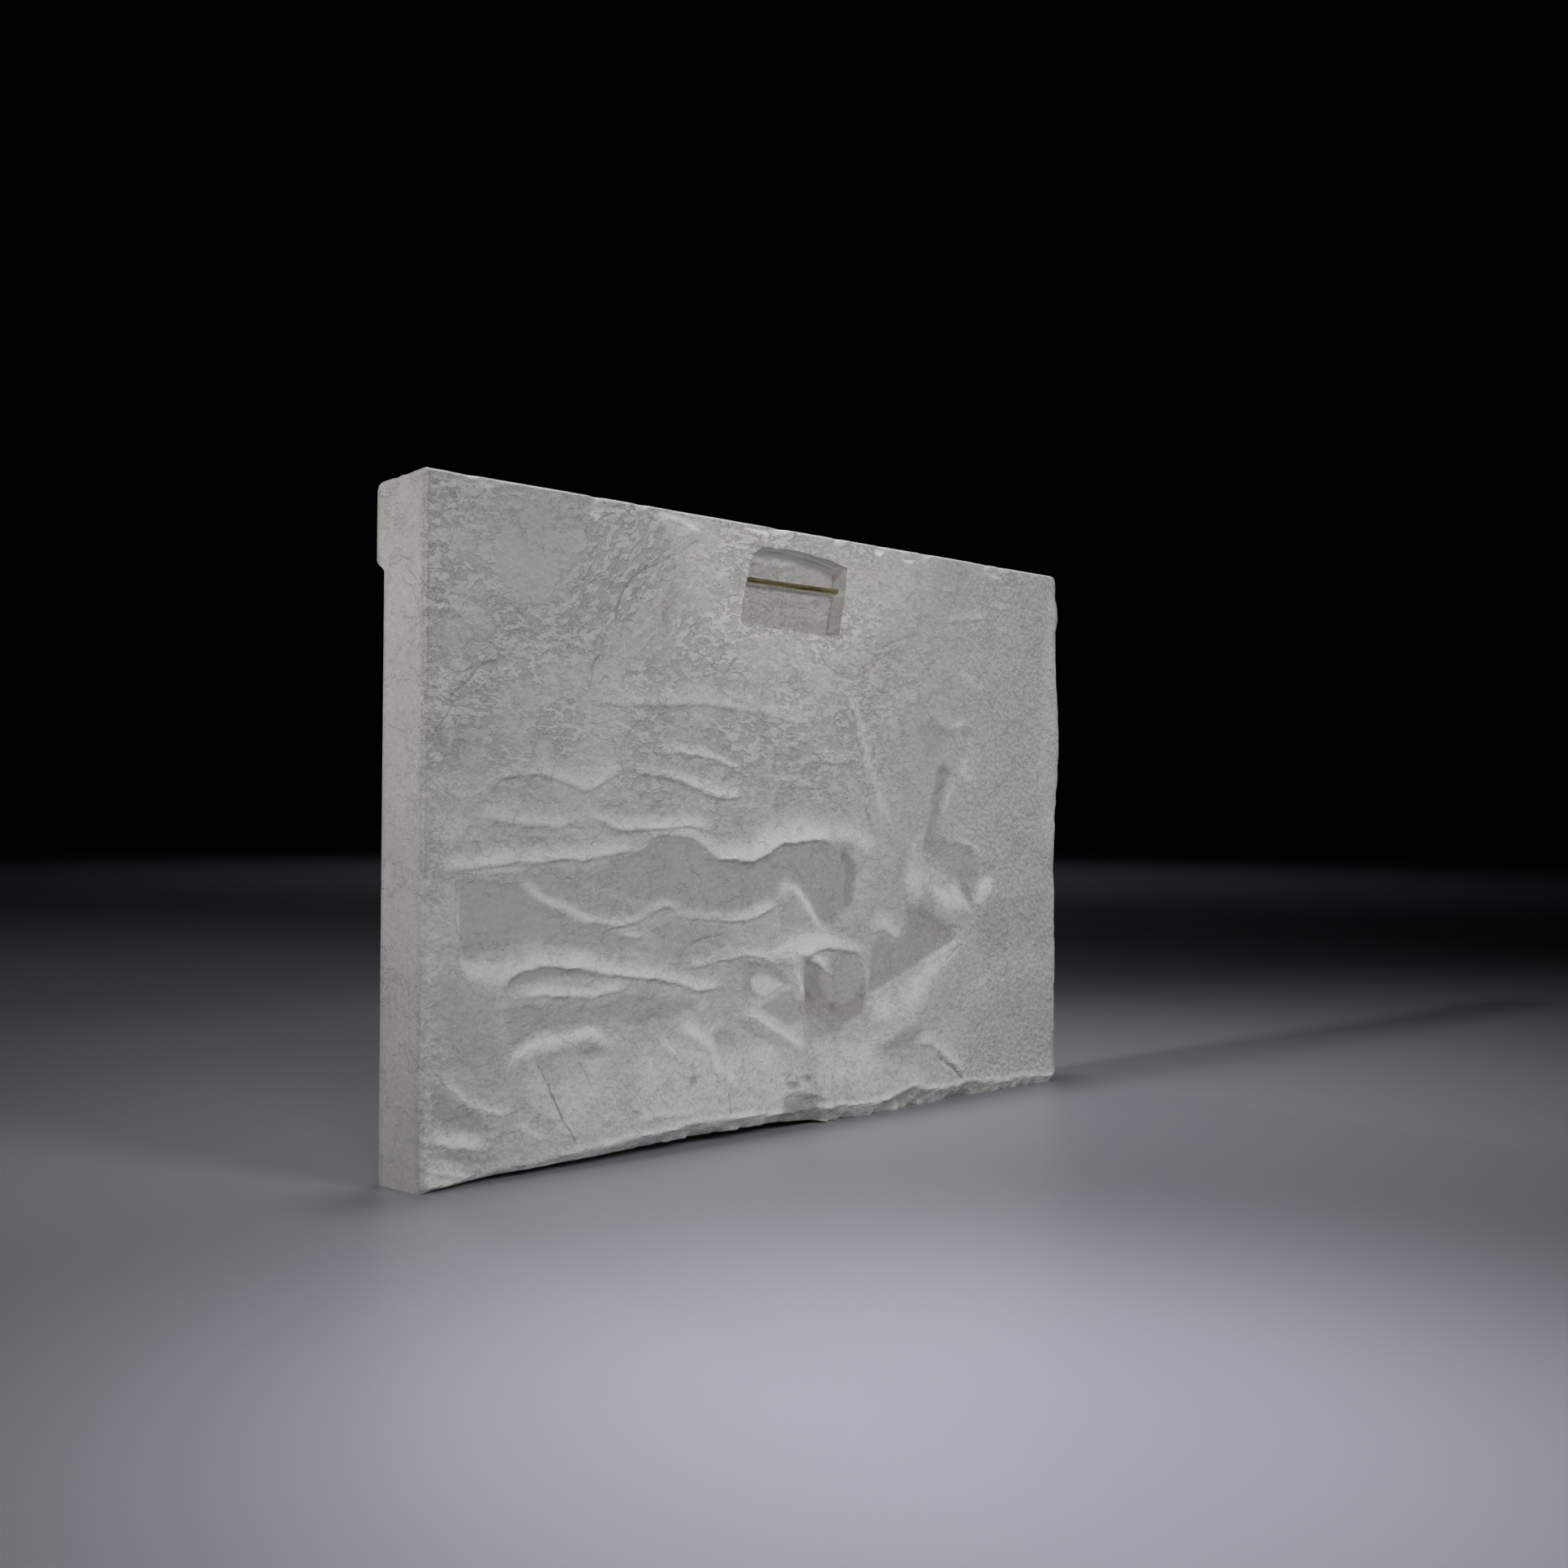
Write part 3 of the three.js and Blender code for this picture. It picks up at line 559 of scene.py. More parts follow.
def nearest(across, down, line):
    """Distance to a line, the side of it, the share of the way along it and how far it runs across there."""
    steps = np.diff(line, axis=0)
    lengths = np.hypot(steps[:, 0], steps[:, 1])
    starts = np.concatenate([[0], np.cumsum(lengths)])
    best = np.full(across.shape, np.inf)
    side, way, run = np.zeros_like(across), np.zeros_like(across), np.zeros_like(across)
    for spot, step, length, start in zip(line, steps, lengths, starts):
        da, dd = across - spot[0], down - spot[1]
        share = np.clip((da * step[0] + dd * step[1]) / length**2, 0, 1)
        distance = np.hypot(da - share * step[0], dd - share * step[1])
        nearer = distance < best
        best = np.where(nearer, distance, best)
        side = np.where(nearer, np.sign(step[0] * dd - step[1] * da), side)
        way = np.where(nearer, start + share * length, way)
        run = np.where(nearer, step[0] / length, run)
    return best, side, way / starts[-1], run


def around(across, down, line, reach):
    """Points within reach of a line's box."""
    low, high = line.min(0) - reach, line.max(0) + reach
    return (across > low[0]) & (across < high[0]) & (down > low[1]) & (down < high[1])


def lip(share):
    """1 at a crisp crest, falling to 0 at its width."""
    return np.clip(1 - share, 0, 1) ** 1.6


def shoulder(share):
    """1 at a broad crest, falling to 0 at a crisp edge."""
    return np.clip(1 - share * share, 0, 1)


def add_fold(height, white, across, down, fold, over_shape, under_shape):
    """Raises one fold out of the surface and whitens it with powder and painted highlight."""
    line = curve_points(fold.path)
    spot = around(across, down, line, max(WHITE_OVER * np.max(fold.over), fold.under))
    distance, side, way, _ = nearest(across[spot], down[spot], line)

    def spread(values):
        values = np.atleast_1d(values)
        return np.interp(way, np.linspace(0, 1, len(values)), values)

    over = spread(fold.over)
    length = np.hypot(*np.diff(line, axis=0).T).sum()
    ends = smooth(0, FOLD_END, length * np.minimum(way, 1 - way))
    above = side < 0
    rising = np.where(above, over_shape(distance / over), under_shape(distance / fold.under))
    # white powder and painted highlight, reaching furthest up the fold's upward-facing upper side
    powder_and_highlight = bell(distance / np.where(above, WHITE_OVER * over, WHITE_UNDER * fold.under))
    height[spot] += spread(fold.rise) * rising * ends
    white[spot] = np.maximum(white[spot], spread(fold.white) * powder_and_highlight * ends)


def add_shadow_line(shadow_line, near, across, down, path, shift, strength):
    """Keeps the distance to a painted shadow line and its strength, where it is the nearest line yet."""
    line = curve_points(path)
    spot = np.flatnonzero(around(across, down, line, 6))
    distance, side, way, _ = nearest(across[spot], down[spot], line)
    gap = side * distance - shift
    closer = np.abs(gap) < np.abs(shadow_line[spot])
    shadow_line[spot[closer]] = gap[closer]
    fade = strength * smooth(0, 0.08, np.minimum(way, 1 - way)) * (1 - smooth(2.4, 3.4, np.abs(gap)))
    near[spot[closer]] = fade[closer]


def add_crease(height, across, down, crease):
    """Scores one thin crease into the surface."""
    line = curve_points(crease.path)
    spot = around(across, down, line, crease.width)
    distance, _, way, _ = nearest(across[spot], down[spot], line)
    height[spot] -= crease.depth * bell(distance / crease.width) * smooth(0, 0.2, np.minimum(way, 1 - way))


def hollow_share(across, down, outline, upper, lower):
    """1 on the floor of a hollow, falling to 0 at its outline."""
    line = curve_points(outline, closed=True)
    share = np.zeros_like(across)
    spot = around(across, down, line, 0)
    a, d = across[spot], down[spot]
    distance, _, _, run = nearest(a, d, line)
    inside = np.zeros(a.shape, bool)
    for (a0, d0), (a1, d1) in zip(line, line[1:]):
        if d0 != d1:
            inside ^= ((d0 > d) != (d1 > d)) & (a < (a1 - a0) * (d - d0) / (d1 - d0) + a0)
    wall = lower + (upper - lower) * smooth(-0.8, 0.6, run)
    share[spot] = np.where(inside, smooth(0, 1, distance / wall), 0)
    return share


def dent_depth(across, down, dent):
    """Depth of one oval dent."""
    turn = math.radians(dent.turn)
    da, dd = across - dent.across, down - dent.down
    long = (da * math.cos(turn) + dd * math.sin(turn)) / dent.long
    short = (dd * math.cos(turn) - da * math.sin(turn)) / dent.short
    return dent.depth * (1 - smooth(dent.core, 1, np.hypot(long, short)))


def grain_share(across, down):
    """How coarse the plaster is: most on the right and along the edges, least in the smooth patches."""
    far, low, edge = smooth(400, 470, across), smooth(300, 330, down), 1 - smooth(4, 22, across)
    coarse = 0.45 + 0.75 * far + 0.4 * low + 0.5 * edge
    for patch in SMOOTH_SPOTS:
        coarse = coarse - dent_depth(across, down, patch)
    return np.clip(coarse, 0.1, COARSEST)


def wander(across, down):
    """Places shifted a little, so that drawn lines waver."""
    aside = 0.9 * rough(across, down, 15, 11) + 0.7 * noise(across, down, 4.2, 14)
    return across + aside, down + 0.8 * rough(across, down, 13, 21) + 0.5 * noise(across, down, 4.6, 24)


def back_surface(across, down):
    """Height of the back over its flat plane, in millimetres, and its shares of white powder and painted
    highlight, and of grey dust and painted shade.
    """
    a, d = wander(across, down)
    height, white, dust = np.zeros_like(across), np.zeros_like(across), np.zeros_like(across)
    shapes = ((LIPS, lip, lip), (SWELLS, bell, bell), (SHOULDERS, shoulder, bell))
    for folds, over_shape, under_shape in shapes:
        for fold in folds:
            add_fold(height, white, a, d, fold, over_shape, under_shape)
    patchy = 1 - 0.6 * smooth(-0.1, 0.6, rough(across * 0.8 + down * 0.5, down - across * 0.4, 22, 23))
    for hollow in HOLLOWS:
        share = hollow_share(a, d, hollow.outline, hollow.upper, hollow.lower)
        height -= hollow.depth * share
        # grey dust and painted shade in the hollows, and fresh powder and painted highlight where the share
        # is negative
        dust += max(hollow.dust, 0) * share
        white = np.maximum(white, -hollow.dust * share * (1 if hollow.depth else patchy))
    for outline in CHIPS:
        share = hollow_share(a, d, outline, CHIP_WALL, CHIP_WALL)
        height -= CHIP_DEPTH * share
        white = np.maximum(white, np.minimum(2.5 * share, 1))
    for dent in DENTS:
        height -= dent_depth(a, d, dent)
    for crease in CREASES:
        add_crease(height, a, d, crease)

    # the back swells above its foot and sinks across its middle
    height += 5.5 * smooth(286, 346, d) * smooth(40, 140, a) * (1 - smooth(360, 440, a))
    far = 1 - smooth(430, 480, a)
    height -= 1.5 * smooth(118, 190, d) * (1 - smooth(255, 300, d)) * smooth(10, 50, a) * far

    # lumps, grain and, near the top, drawn-out strokes
    coarse = grain_share(across, down)
    strokes = 1 - smooth(90, 150, down)
    height += 0.40 * rough(across, down, 38, 31) + 0.16 * rough(across, down, 13, 41)
    height += coarse * 0.22 * rough(across, down, 6.0, 51, 2)
    height += 0.16 * strokes * rough(across * 0.22, down * 1.6, 9, 61) * (1 - smooth(300, 400, across))

    # white powder and painted highlight along the upward-facing lower rim, but for the notch in it
    rim = along(RIM_LINE, across)
    lit = 1 - smooth(255, 262, across) * (1 - smooth(284, 292, across))
    powder_and_highlight = 0.7 * lit * bell((rim - 1 - down) / 5) * (down < rim + 1) * smooth(80, 110, across)
    return height, np.maximum(white, powder_and_highlight), dust


def edge_swell(down):
    """How far the worn right-hand edge stands out."""
    return 4.5 * bell((down - 118) / 60) + 2.5 * bell((down - 26) / 12) - 1.5 * bell((down - 210) / 30)


def round_over(distance, radius):
    """Drop of an edge rounded to a radius, at a distance in from it."""
    inside = np.clip(radius - distance, 0, radius)
    return radius - np.sqrt(radius**2 - inside**2)


def front_height(across, down, sizes):
    """Height of the front over its flat plane, in millimetres."""
    half = WIDTH / 2
    band = sizes.band_height / MM
    side = np.minimum(across, WIDTH - across)
    height = sizes.band_rise / MM * (1 - smooth(band - 3, band + 3, down))

    reach = (half - side) / (half - ROSETTE_ACROSS)
    sag = np.clip(1 - reach**2, 0, 1)
    top = ROSETTE_DOWN + SWAG_TOP + SWAG_TOP_SAG * sag
    low = ROSETTE_DOWN + SWAG_LOW + SWAG_LOW_SAG * sag
    steep = 2 * reach / (half - ROSETTE_ACROSS)
    inside = smooth(0, 1, (down - top) / SWAG_EDGE / np.hypot(1, steep * SWAG_TOP_SAG))
    above_hem = smooth(0, 1, (low - down) / SWAG_EDGE / np.hypot(1, steep * SWAG_LOW_SAG))
    inside *= above_hem * (1 - smooth(0.84, 1, reach))
    share = (down - top) / (low - top)
    wave = share * SWAG_FOLDS + 0.07 * np.sin(across / 37)
    wave -= np.floor(wave)
    ridge = np.where(wave < SWAG_CREST, smooth(0, SWAG_CREST, wave), 1 - smooth(SWAG_CREST, 1, wave))
    belly = 4 * np.sin(np.pi * np.clip(share, 0, 1))
    height = np.maximum(height, inside * (4.5 + belly + 4.5 * ridge * smooth(40, 90, low - top)))

    out = ROSETTE_ACROSS - TAIL_INSET - side
    spread = TAIL_SPREAD + TAIL_SPREAD * smooth(100, 290, down)
    hem = TAIL_LOW - 0.55 * (out + 2 * TAIL_SPREAD) - 9 * np.abs(((out + 2 * TAIL_SPREAD) / TAIL_HEM) % 2 - 1)
    tail = (1 - smooth(0.86, 1, np.abs(out / spread))) * smooth(ROSETTE_DOWN, 120, down)
    tail = tail * (1 - smooth(-2.5, 2.5, down - hem))
    height = np.maximum(height, tail * (4 + 4.5 * (0.5 + 0.5 * np.cos(3 * np.pi * out / spread))))

    da, dd = side - ROSETTE_ACROSS, down - ROSETTE_DOWN
    radius = np.hypot(da, dd)
    petal = np.abs(np.cos(np.arctan2(dd, da) * PETALS / 2))
    edge = ROSETTE_RADIUS * (0.84 + 0.16 * petal**0.6)
    cup = 0.72 + 0.28 * petal**0.8 * smooth(0.25, 0.6, radius / ROSETTE_RADIUS)
    boss = ROSETTE_RISE * (1 - smooth(0.6, 1, radius / edge)) * cup
    return np.maximum(height, boss + HEART_RISE * bell(radius / HEART_RADIUS))


def spaced(count, length, narrow):
    """Places of grid lines over a length, even but for a few narrow cells along both edges."""
    edge = np.array(narrow, float)
    even = np.linspace(edge[-1], length - edge[-1], count + 1 - 2 * (len(edge) - 1))
    return np.concatenate([edge[:-1], even, length - edge[:-1][::-1]])


def only(piece):
    """Selects one piece alone and makes it active."""
    bpy.ops.object.select_all(action="DESELECT")
    piece.select_set(True)
    bpy.context.view_layer.objects.active = piece


def values_of(piece, name):
    """Three values for each of the piece's points, as an array."""
    values = np.empty(len(piece.data.vertices) * 3)
    piece.data.vertices.foreach_get(name, values)
    return values.reshape(-1, 3)


def points_of(piece):
    """The places of the piece's points."""
    return values_of(piece, "co")


def set_points(piece, points):
    """Moves the piece's points to their places."""
    piece.data.vertices.foreach_set("co", np.ascontiguousarray(points, dtype=float).ravel())
    piece.data.update()


def face_out(piece):
    """Turns all the faces of a closed piece outwards."""
    only(piece)
    bpy.ops.object.mode_set(mode="EDIT")
    bpy.ops.mesh.select_all(action="SELECT")
    bpy.ops.mesh.normals_make_consistent(inside=False)
    bpy.ops.object.mode_set(mode="OBJECT")


def layered_grid(name, columns, rows, layers):
    """Closed block of cells: a grid of whole steps, extruded layer by layer along -Z."""
    bpy.ops.object.select_all(action="DESELECT")
    bpy.ops.mesh.primitive_grid_add(x_subdivisions=columns, y_subdivisions=rows, size=2)
    block = bpy.context.active_object
    block.name = block.data.name = name
    bpy.ops.object.mode_set(mode="EDIT")
    bpy.ops.mesh.select_all(action="SELECT")
    for _ in range(layers):
        bpy.ops.mesh.extrude_region_move(TRANSFORM_OT_translate={"value": (0, 0, -1)})
    bpy.ops.object.mode_set(mode="OBJECT")
    face_out(block)
    points = points_of(block)
    points[:, 0] = np.rint((points[:, 0] + 1) / 2 * columns)
    points[:, 1] = np.rint((1 - points[:, 1]) / 2 * rows)
    points[:, 2] = np.rint(-points[:, 2])
    set_points(block, points)
    return block


def thin_front_columns(block, layers):
    """Leaves out every other column line of the last layer, which needs fewer cells."""
    points = points_of(block)
    odd = (points[:, 2] == layers) & (points[:, 0] % 2 == 1)
    ends = np.empty(len(block.data.edges) * 2, int)
    block.data.edges.foreach_get("vertices", ends)
    picked = odd[ends.reshape(-1, 2)].all(1)
    only(block)
    bpy.ops.object.mode_set(mode="EDIT")
    bpy.ops.mesh.select_mode(type="EDGE")
    bpy.ops.mesh.select_all(action="DESELECT")
    bpy.ops.object.mode_set(mode="OBJECT")
    block.data.edges.foreach_set("select", picked)
    bpy.ops.object.mode_set(mode="EDIT")
    bpy.ops.mesh.dissolve_edges(use_verts=True)
    bpy.ops.object.mode_set(mode="OBJECT")


def slab_places(points, columns, rows, layers, sizes):
    """Turns whole steps of the block into places on the casting."""
    across = spaced(columns, WIDTH, EDGE_CELLS)[points[:, 0].astype(int)]
    down = spaced(rows, HEIGHT, EDGE_CELLS)[points[:, 1].astype(int)]
    back = 1 - points[:, 2] / layers
    foot = along(FOOT_LINE, across)
    rim = along(RIM_LINE, across) + 0.9 * noise(across, 0 * across, 7, 71)

    # back face, with its worn edges and the rough bevel below its rim
    back_down = down * foot / HEIGHT
    chips = np.clip(rough(across + back_down, back_down * 0, 11, 81) - 0.35, 0, 1)
    height, _, _ = back_surface(across, back_down)
    rounded = round_over(np.minimum(across, back_down), BACK_EDGE)
    height -= rounded + 2.0 * chips * (1 - smooth(0, 7, back_down))
    height -= np.clip(rough(back_down, across * 2, 9, 85), 0, 1) * (1 - smooth(0, 5, across))
    height -= round_over(WIDTH - across, FAR_EDGE) * 0.45
    height += 1.1 * lip((rim - back_down) / 6) * (back_down < rim)
    below = np.clip(back_down - rim, 0, None)
    height -= below * (0.7 + 0.3 * noise(across, back_down, 5, 91))

    # front face
    front = THICKNESS + front_height(WIDTH - across, down, sizes)
    inward = np.minimum(np.minimum(across, WIDTH - across), HEIGHT - down)
    front -= round_over(inward, FRONT_EDGE) + round_over(down, FRONT_TOP_EDGE)
    front_down = down + TOP_FALL * (1 - smooth(0, 30, down))

    # narrow sides between the two
    depth = front + (-height - front) * back
    place_down = front_down + (back_down - front_down) * back
    lumps = np.abs(rough(across, depth * 3, 14, 101)) * np.sin(np.pi * back)
    place_down = place_down + np.where(points[:, 1] == 0, 0.7 * lumps, 0)
    corner = round_over(WIDTH - across, FAR_CORNER) * (1 - 2 * down / HEIGHT)
    swell = edge_swell(down) * smooth(WIDTH - 40, WIDTH, across)
    swell = swell + 0.5 * rough(down, depth * 2, 9, 111) * smooth(WIDTH - 8, WIDTH, across)
    return np.column_stack([
        EDGE_X - across - swell,
        BACK_Y - depth,
        TOP_Z - place_down - corner,
    ]) * MM


def pocket_places(points, columns, rows, layers, sizes):
    """Turns whole steps of the cutting block into the pocket's rough inside."""
    u, v = points[:, 0] / columns, points[:, 1] / rows
    out = points[:, 2] / layers
    depth = sizes.pocket_depth / MM
    left, right = along(POCKET_LEFT, v), along(POCKET_RIGHT, v)
    top, bottom = along(POCKET_TOP, u), along(POCKET_BOTTOM, u)
    across = left + (right - left) * u
    down = top + (bottom - top) * v
    draft = POCKET_DRAFT * (1 - out)
    across = across + draft * (1 - 2 * u) + 0.35 * rough(down * 2, out * 40, 7, 121)
    down = down - draft * (2 - v) + 0.45 * rough(across, out * 40, 9, 131)
    step = 0.3 * smooth(43, 45, down + 2 * np.sin(across / 14))
    floor = depth + step + 0.35 * rough(across * 0.3, down * 1.5, 6, 141)
    sunk = floor + (-POCKET_PROUD - floor) * out
    return np.column_stack([EDGE_X - across, BACK_Y - sunk, TOP_Z - down]) * MM


def cut(piece, cutter):
    """Takes the cutter's space out of the piece."""
    only(piece)
    modifier = piece.modifiers.new("pocket", "BOOLEAN")
    modifier.operation = "DIFFERENCE"
    modifier.solver = "EXACT"
    modifier.object = cutter
    bpy.ops.object.modifier_apply(modifier=modifier.name)
    bpy.data.objects.remove(cutter)


def add_share(piece, name, values):
    """Stores a share for each point, for the material to read."""
    layer = piece.data.attributes.new(name, "FLOAT", "POINT")
    layer.data.foreach_set("value", np.clip(values, 0, 1))


def paint_skin(piece, across, down, on_back, side):
    """Marks the brown stains with the painted shadow in the pits, the struck sides, the trowelled skin and
    the coarse grain.
    """
    stain_and_shadow = np.zeros_like(across)
    for spot in STAINS_AND_PIT_SHADOWS:
        stain_and_shadow = np.maximum(stain_and_shadow, dent_depth(across, down, spot))
    stain_and_shadow *= 0.5 + 0.5 * smooth(-0.4, 0.5, rough(across, down, 5, 161))
    upper = 1 - smooth(120, 190, down + 12 * rough(across, down, 40, 151))
    skin = 0.3 + 0.7 * upper * (1 - smooth(300, 430, across))
    for patch in BARE_PATCHES:
        skin = skin - dent_depth(across, down, patch)
    skin = skin * (0.4 + 0.6 * smooth(-0.35, 0.25, rough(across, down * 1.2, 30, 171)))
    coarse = grain_share(across, down) / COARSEST
    add_share(piece, "stain_and_shadow", stain_and_shadow * on_back)
    add_share(piece, "side", side)
    add_share(piece, "skin", np.clip(skin, 0.05, 1) * on_back * (1 - side))
    add_share(piece, "coarse", coarse * (0.3 + 0.7 * on_back) * (1 - 0.7 * side))
    add_share(piece, "slant", dent_depth(across, down, SLANT_PATCH))


def paint_shadow_lines(piece, across, down, on_back):
    """Marks the painted shadow lines under the lips, in the creases and at the pocket's top and bottom."""
    a, d = wander(across, down)
    shadow_line, near = np.full_like(across, SHADOW_LINE_REACH), np.zeros_like(across)
    for fold in LIPS:
        add_shadow_line(shadow_line, near, a, d, fold.path, 0.9, 0.35 * np.max(fold.white))
    for crease in CREASES:
        add_shadow_line(shadow_line, near, a, d, crease.path, 0, 0.75 * crease.depth)
    share = np.linspace(0, 1, 9)
    for edge, end in ((POCKET_TOP, 0), (POCKET_BOTTOM, 1)):
        sides = np.linspace(along(POCKET_LEFT, end), along(POCKET_RIGHT, end), len(share))
        add_shadow_line(shadow_line, near, across, down, np.column_stack([sides, along(edge, share)]), 0, 0.5)
    add_share(piece, "shadow_line", 0.5 + shadow_line / SHADOW_LINE_REACH / 2)
    add_share(piece, "shadow_line_strength", near * on_back)


def paint_white_and_shade(piece, across, down, depth, on_back, normals):
    """Marks the white powder and grey dust with painted highlight on surfaces that face up and painted shade
    along the edge at +X, and evens out the light and dark inside the pocket with painted light in its shadows
    and painted shade on its floor.
    """
    _, white, dust = back_surface(across, down)
    in_pocket = smooth(1.2, 2.6, depth) * (depth < 16)
    in_pocket = in_pocket * (np.abs(across - 270) < 50) * (down > 8) * (down < 66)
    # painted highlight: surfaces that face up are whitened as if lit from above, but not in the pocket
    up_facing_highlight = smooth(0.05, 0.6, normals[:, 2]) * (1 - smooth(0.45, 0.75, dust))
    white = np.maximum(white, 0.5 * up_facing_highlight) * (1 - in_pocket)
    # painted light in the pocket's shadows: on its right wall, its roof, the strip under its top edge and the
    # band under the rod
    wall = np.maximum(0.28 * smooth(0.8, 0.97, normals[:, 0]), smooth(0.2, 0.7, -normals[:, 2]))
    under_roof = 1 - smooth(15, 22, down - 2 * smooth(280, 310, across))
    under_rod = 0.6 * bell((down - 34) / 4)
    shaded = np.maximum(np.maximum(under_roof, under_rod), wall)
    white = np.maximum(white, in_pocket * shaded)
    # painted shade along the rounded edge at +X of the back
    dust = np.maximum(dust, 0.6 * (1 - smooth(0.8, 3.0, across)) * (1 - smooth(1, 3, depth)))
    # painted shade on the pocket floor, less where painted light lifts its shadows
    pocket_floor_shade = (0.8 + 0.2 * smooth(42, 52, down)) * np.clip(1 - 2 * shaded, 0, 1)
    add_share(piece, "white_and_highlight", white * (1 - smooth(14, 18, depth)))
    add_share(piece, "dust_and_painted_shade", np.maximum(dust, in_pocket * pocket_floor_shade) * on_back)


def paint_plaster(piece):
    """Marks the casting's surface with the shares that its material reads."""
    points, normals = points_of(piece) / MM, values_of(piece, "normal")
    across, depth, down = EDGE_X - points[:, 0], BACK_Y - points[:, 1], TOP_Z - points[:, 2]
    on_back = 1 - smooth(9, 14, depth)
    side = smooth(0.8, 0.95, np.abs(normals[:, 0])) * smooth(1, 4, depth)
    paint_skin(piece, across, down, on_back, side)
    paint_shadow_lines(piece, across, down, on_back)
    paint_white_and_shade(piece, across, down, depth, on_back, normals)


class Nodes:
    """Short way to add and join a material's nodes."""

    def __init__(self, name):
        self.material = bpy.data.materials.new(name)
        self.material.use_nodes = True
        self.tree = self.material.node_tree
        self.shader = self.tree.nodes["Principled BSDF"]
        self.place = self.add("ShaderNodeTexCoord").outputs["Object"]

    def add(self, kind, inputs=None, **settings):
        """Adds a node and fills its inputs."""
        node = self.tree.nodes.new(kind)
        for key, value in settings.items():
            setattr(node, key, value)
        for key, value in (inputs or {}).items():
            self.put(node.inputs[key], value)
        return node

    def put(self, socket, value):
        """Joins a socket to another, or sets it to a constant."""
        if isinstance(value, bpy.types.NodeSocket):
            self.tree.links.new(value, socket)
        else:
            socket.default_value = value

    def share(self, name):
        """A share kept on the mesh."""
        return self.add("ShaderNodeAttribute", attribute_name=name).outputs["Fac"]

    def noise(self, scale, detail=3.0, stretch=(1, 1, 1), distortion=0.0, roughness=0.5, turn=0, lift=0):
        """Noise in the piece's own frame, stretched, turned about Y in degrees and lifted along Z."""
        turned = {"Vector": self.place, "Rotation": (0, -math.radians(turn), 0), "Location": (0, 0, lift)}
        place = self.add("ShaderNodeMapping", turned).outputs["Vector"]
        place = self.add("ShaderNodeMapping", {"Vector": place, "Scale": stretch}).outputs["Vector"]
        inputs = {"Vector": place, "Scale": scale, "Detail": detail}
        inputs.update({"Distortion": distortion, "Roughness": roughness})
        return self.add("ShaderNodeTexNoise", inputs).outputs["Fac"]

    def work(self, kind, a, b=0.0, clamp=False):
        """One step of arithmetic."""
        return self.add("ShaderNodeMath", {0: a, 1: b}, operation=kind, use_clamp=clamp).outputs[0]

    def plus(self, a, b, clamp=False):
        return self.work("ADD", a, b, clamp)

    def less(self, a, b):
        return self.work("SUBTRACT", a, b)

    def times(self, a, b):
        return self.work("MULTIPLY", a, b)

    def span(self, value, low, high, to_low=0.0, to_high=1.0):
        """Turns one range of values into another."""
        inputs = {"Value": value, 1: low, 2: high, 3: to_low, 4: to_high}
        return self.add("ShaderNodeMapRange", inputs).outputs["Result"]

    def blend(self, share, a, b):
        """Mixes two values."""
        return self.add("ShaderNodeMix", {"Factor": share, "A": a, "B": b}).outputs["Result"]

    def mix(self, share, a, b):
        """Mixes two colours."""
        node = self.add("ShaderNodeMix", data_type="RGBA")
        self.put(node.inputs["Factor"], share)
        self.put(node.inputs["A"], a)
        self.put(node.inputs["B"], b)
        return node.outputs["Result"]

    def bump(self, height, distance, strength=1.0, under=None):
        """Fine grain in the normals, over that of another bump."""
        inputs = {"Height": height, "Distance": distance, "Strength": strength}
        if under is not None:
            inputs["Normal"] = under
        return self.add("ShaderNodeBump", inputs).outputs["Normal"]


def rgba(colour):
    """A colour with its alpha."""
    return (*colour, 1.0)


# Grain of the plaster: cells to the metre of its crumbs and of the flakes of its skin, and how far each is
# lifted to find which way it slopes, for the painted highlight and shade on its slopes
CRUMB_SCALE, CRUMB_LIFT = 300, 1.1 * MM
FLAKE_SCALE, FLAKE_LIFT = 270, 0.7 * MM


def flake_level(n, lift=0):
    """Height of the skin's worn flakes, which run on a slant in one patch."""
    straight = n.noise(FLAKE_SCALE, 6, (0.5, 1, 1), 0.6, 0.6, 0, lift)
    slanted = n.noise(FLAKE_SCALE, 6, (0.42, 1, 1), 0.6, 0.6, 36, lift)
    return n.blend(n.share("slant"), straight, slanted)


def crumb_level(n, lift=0):
    """Height of the crumbs."""
    return n.noise(CRUMB_SCALE, 4, roughness=0.6, lift=lift)


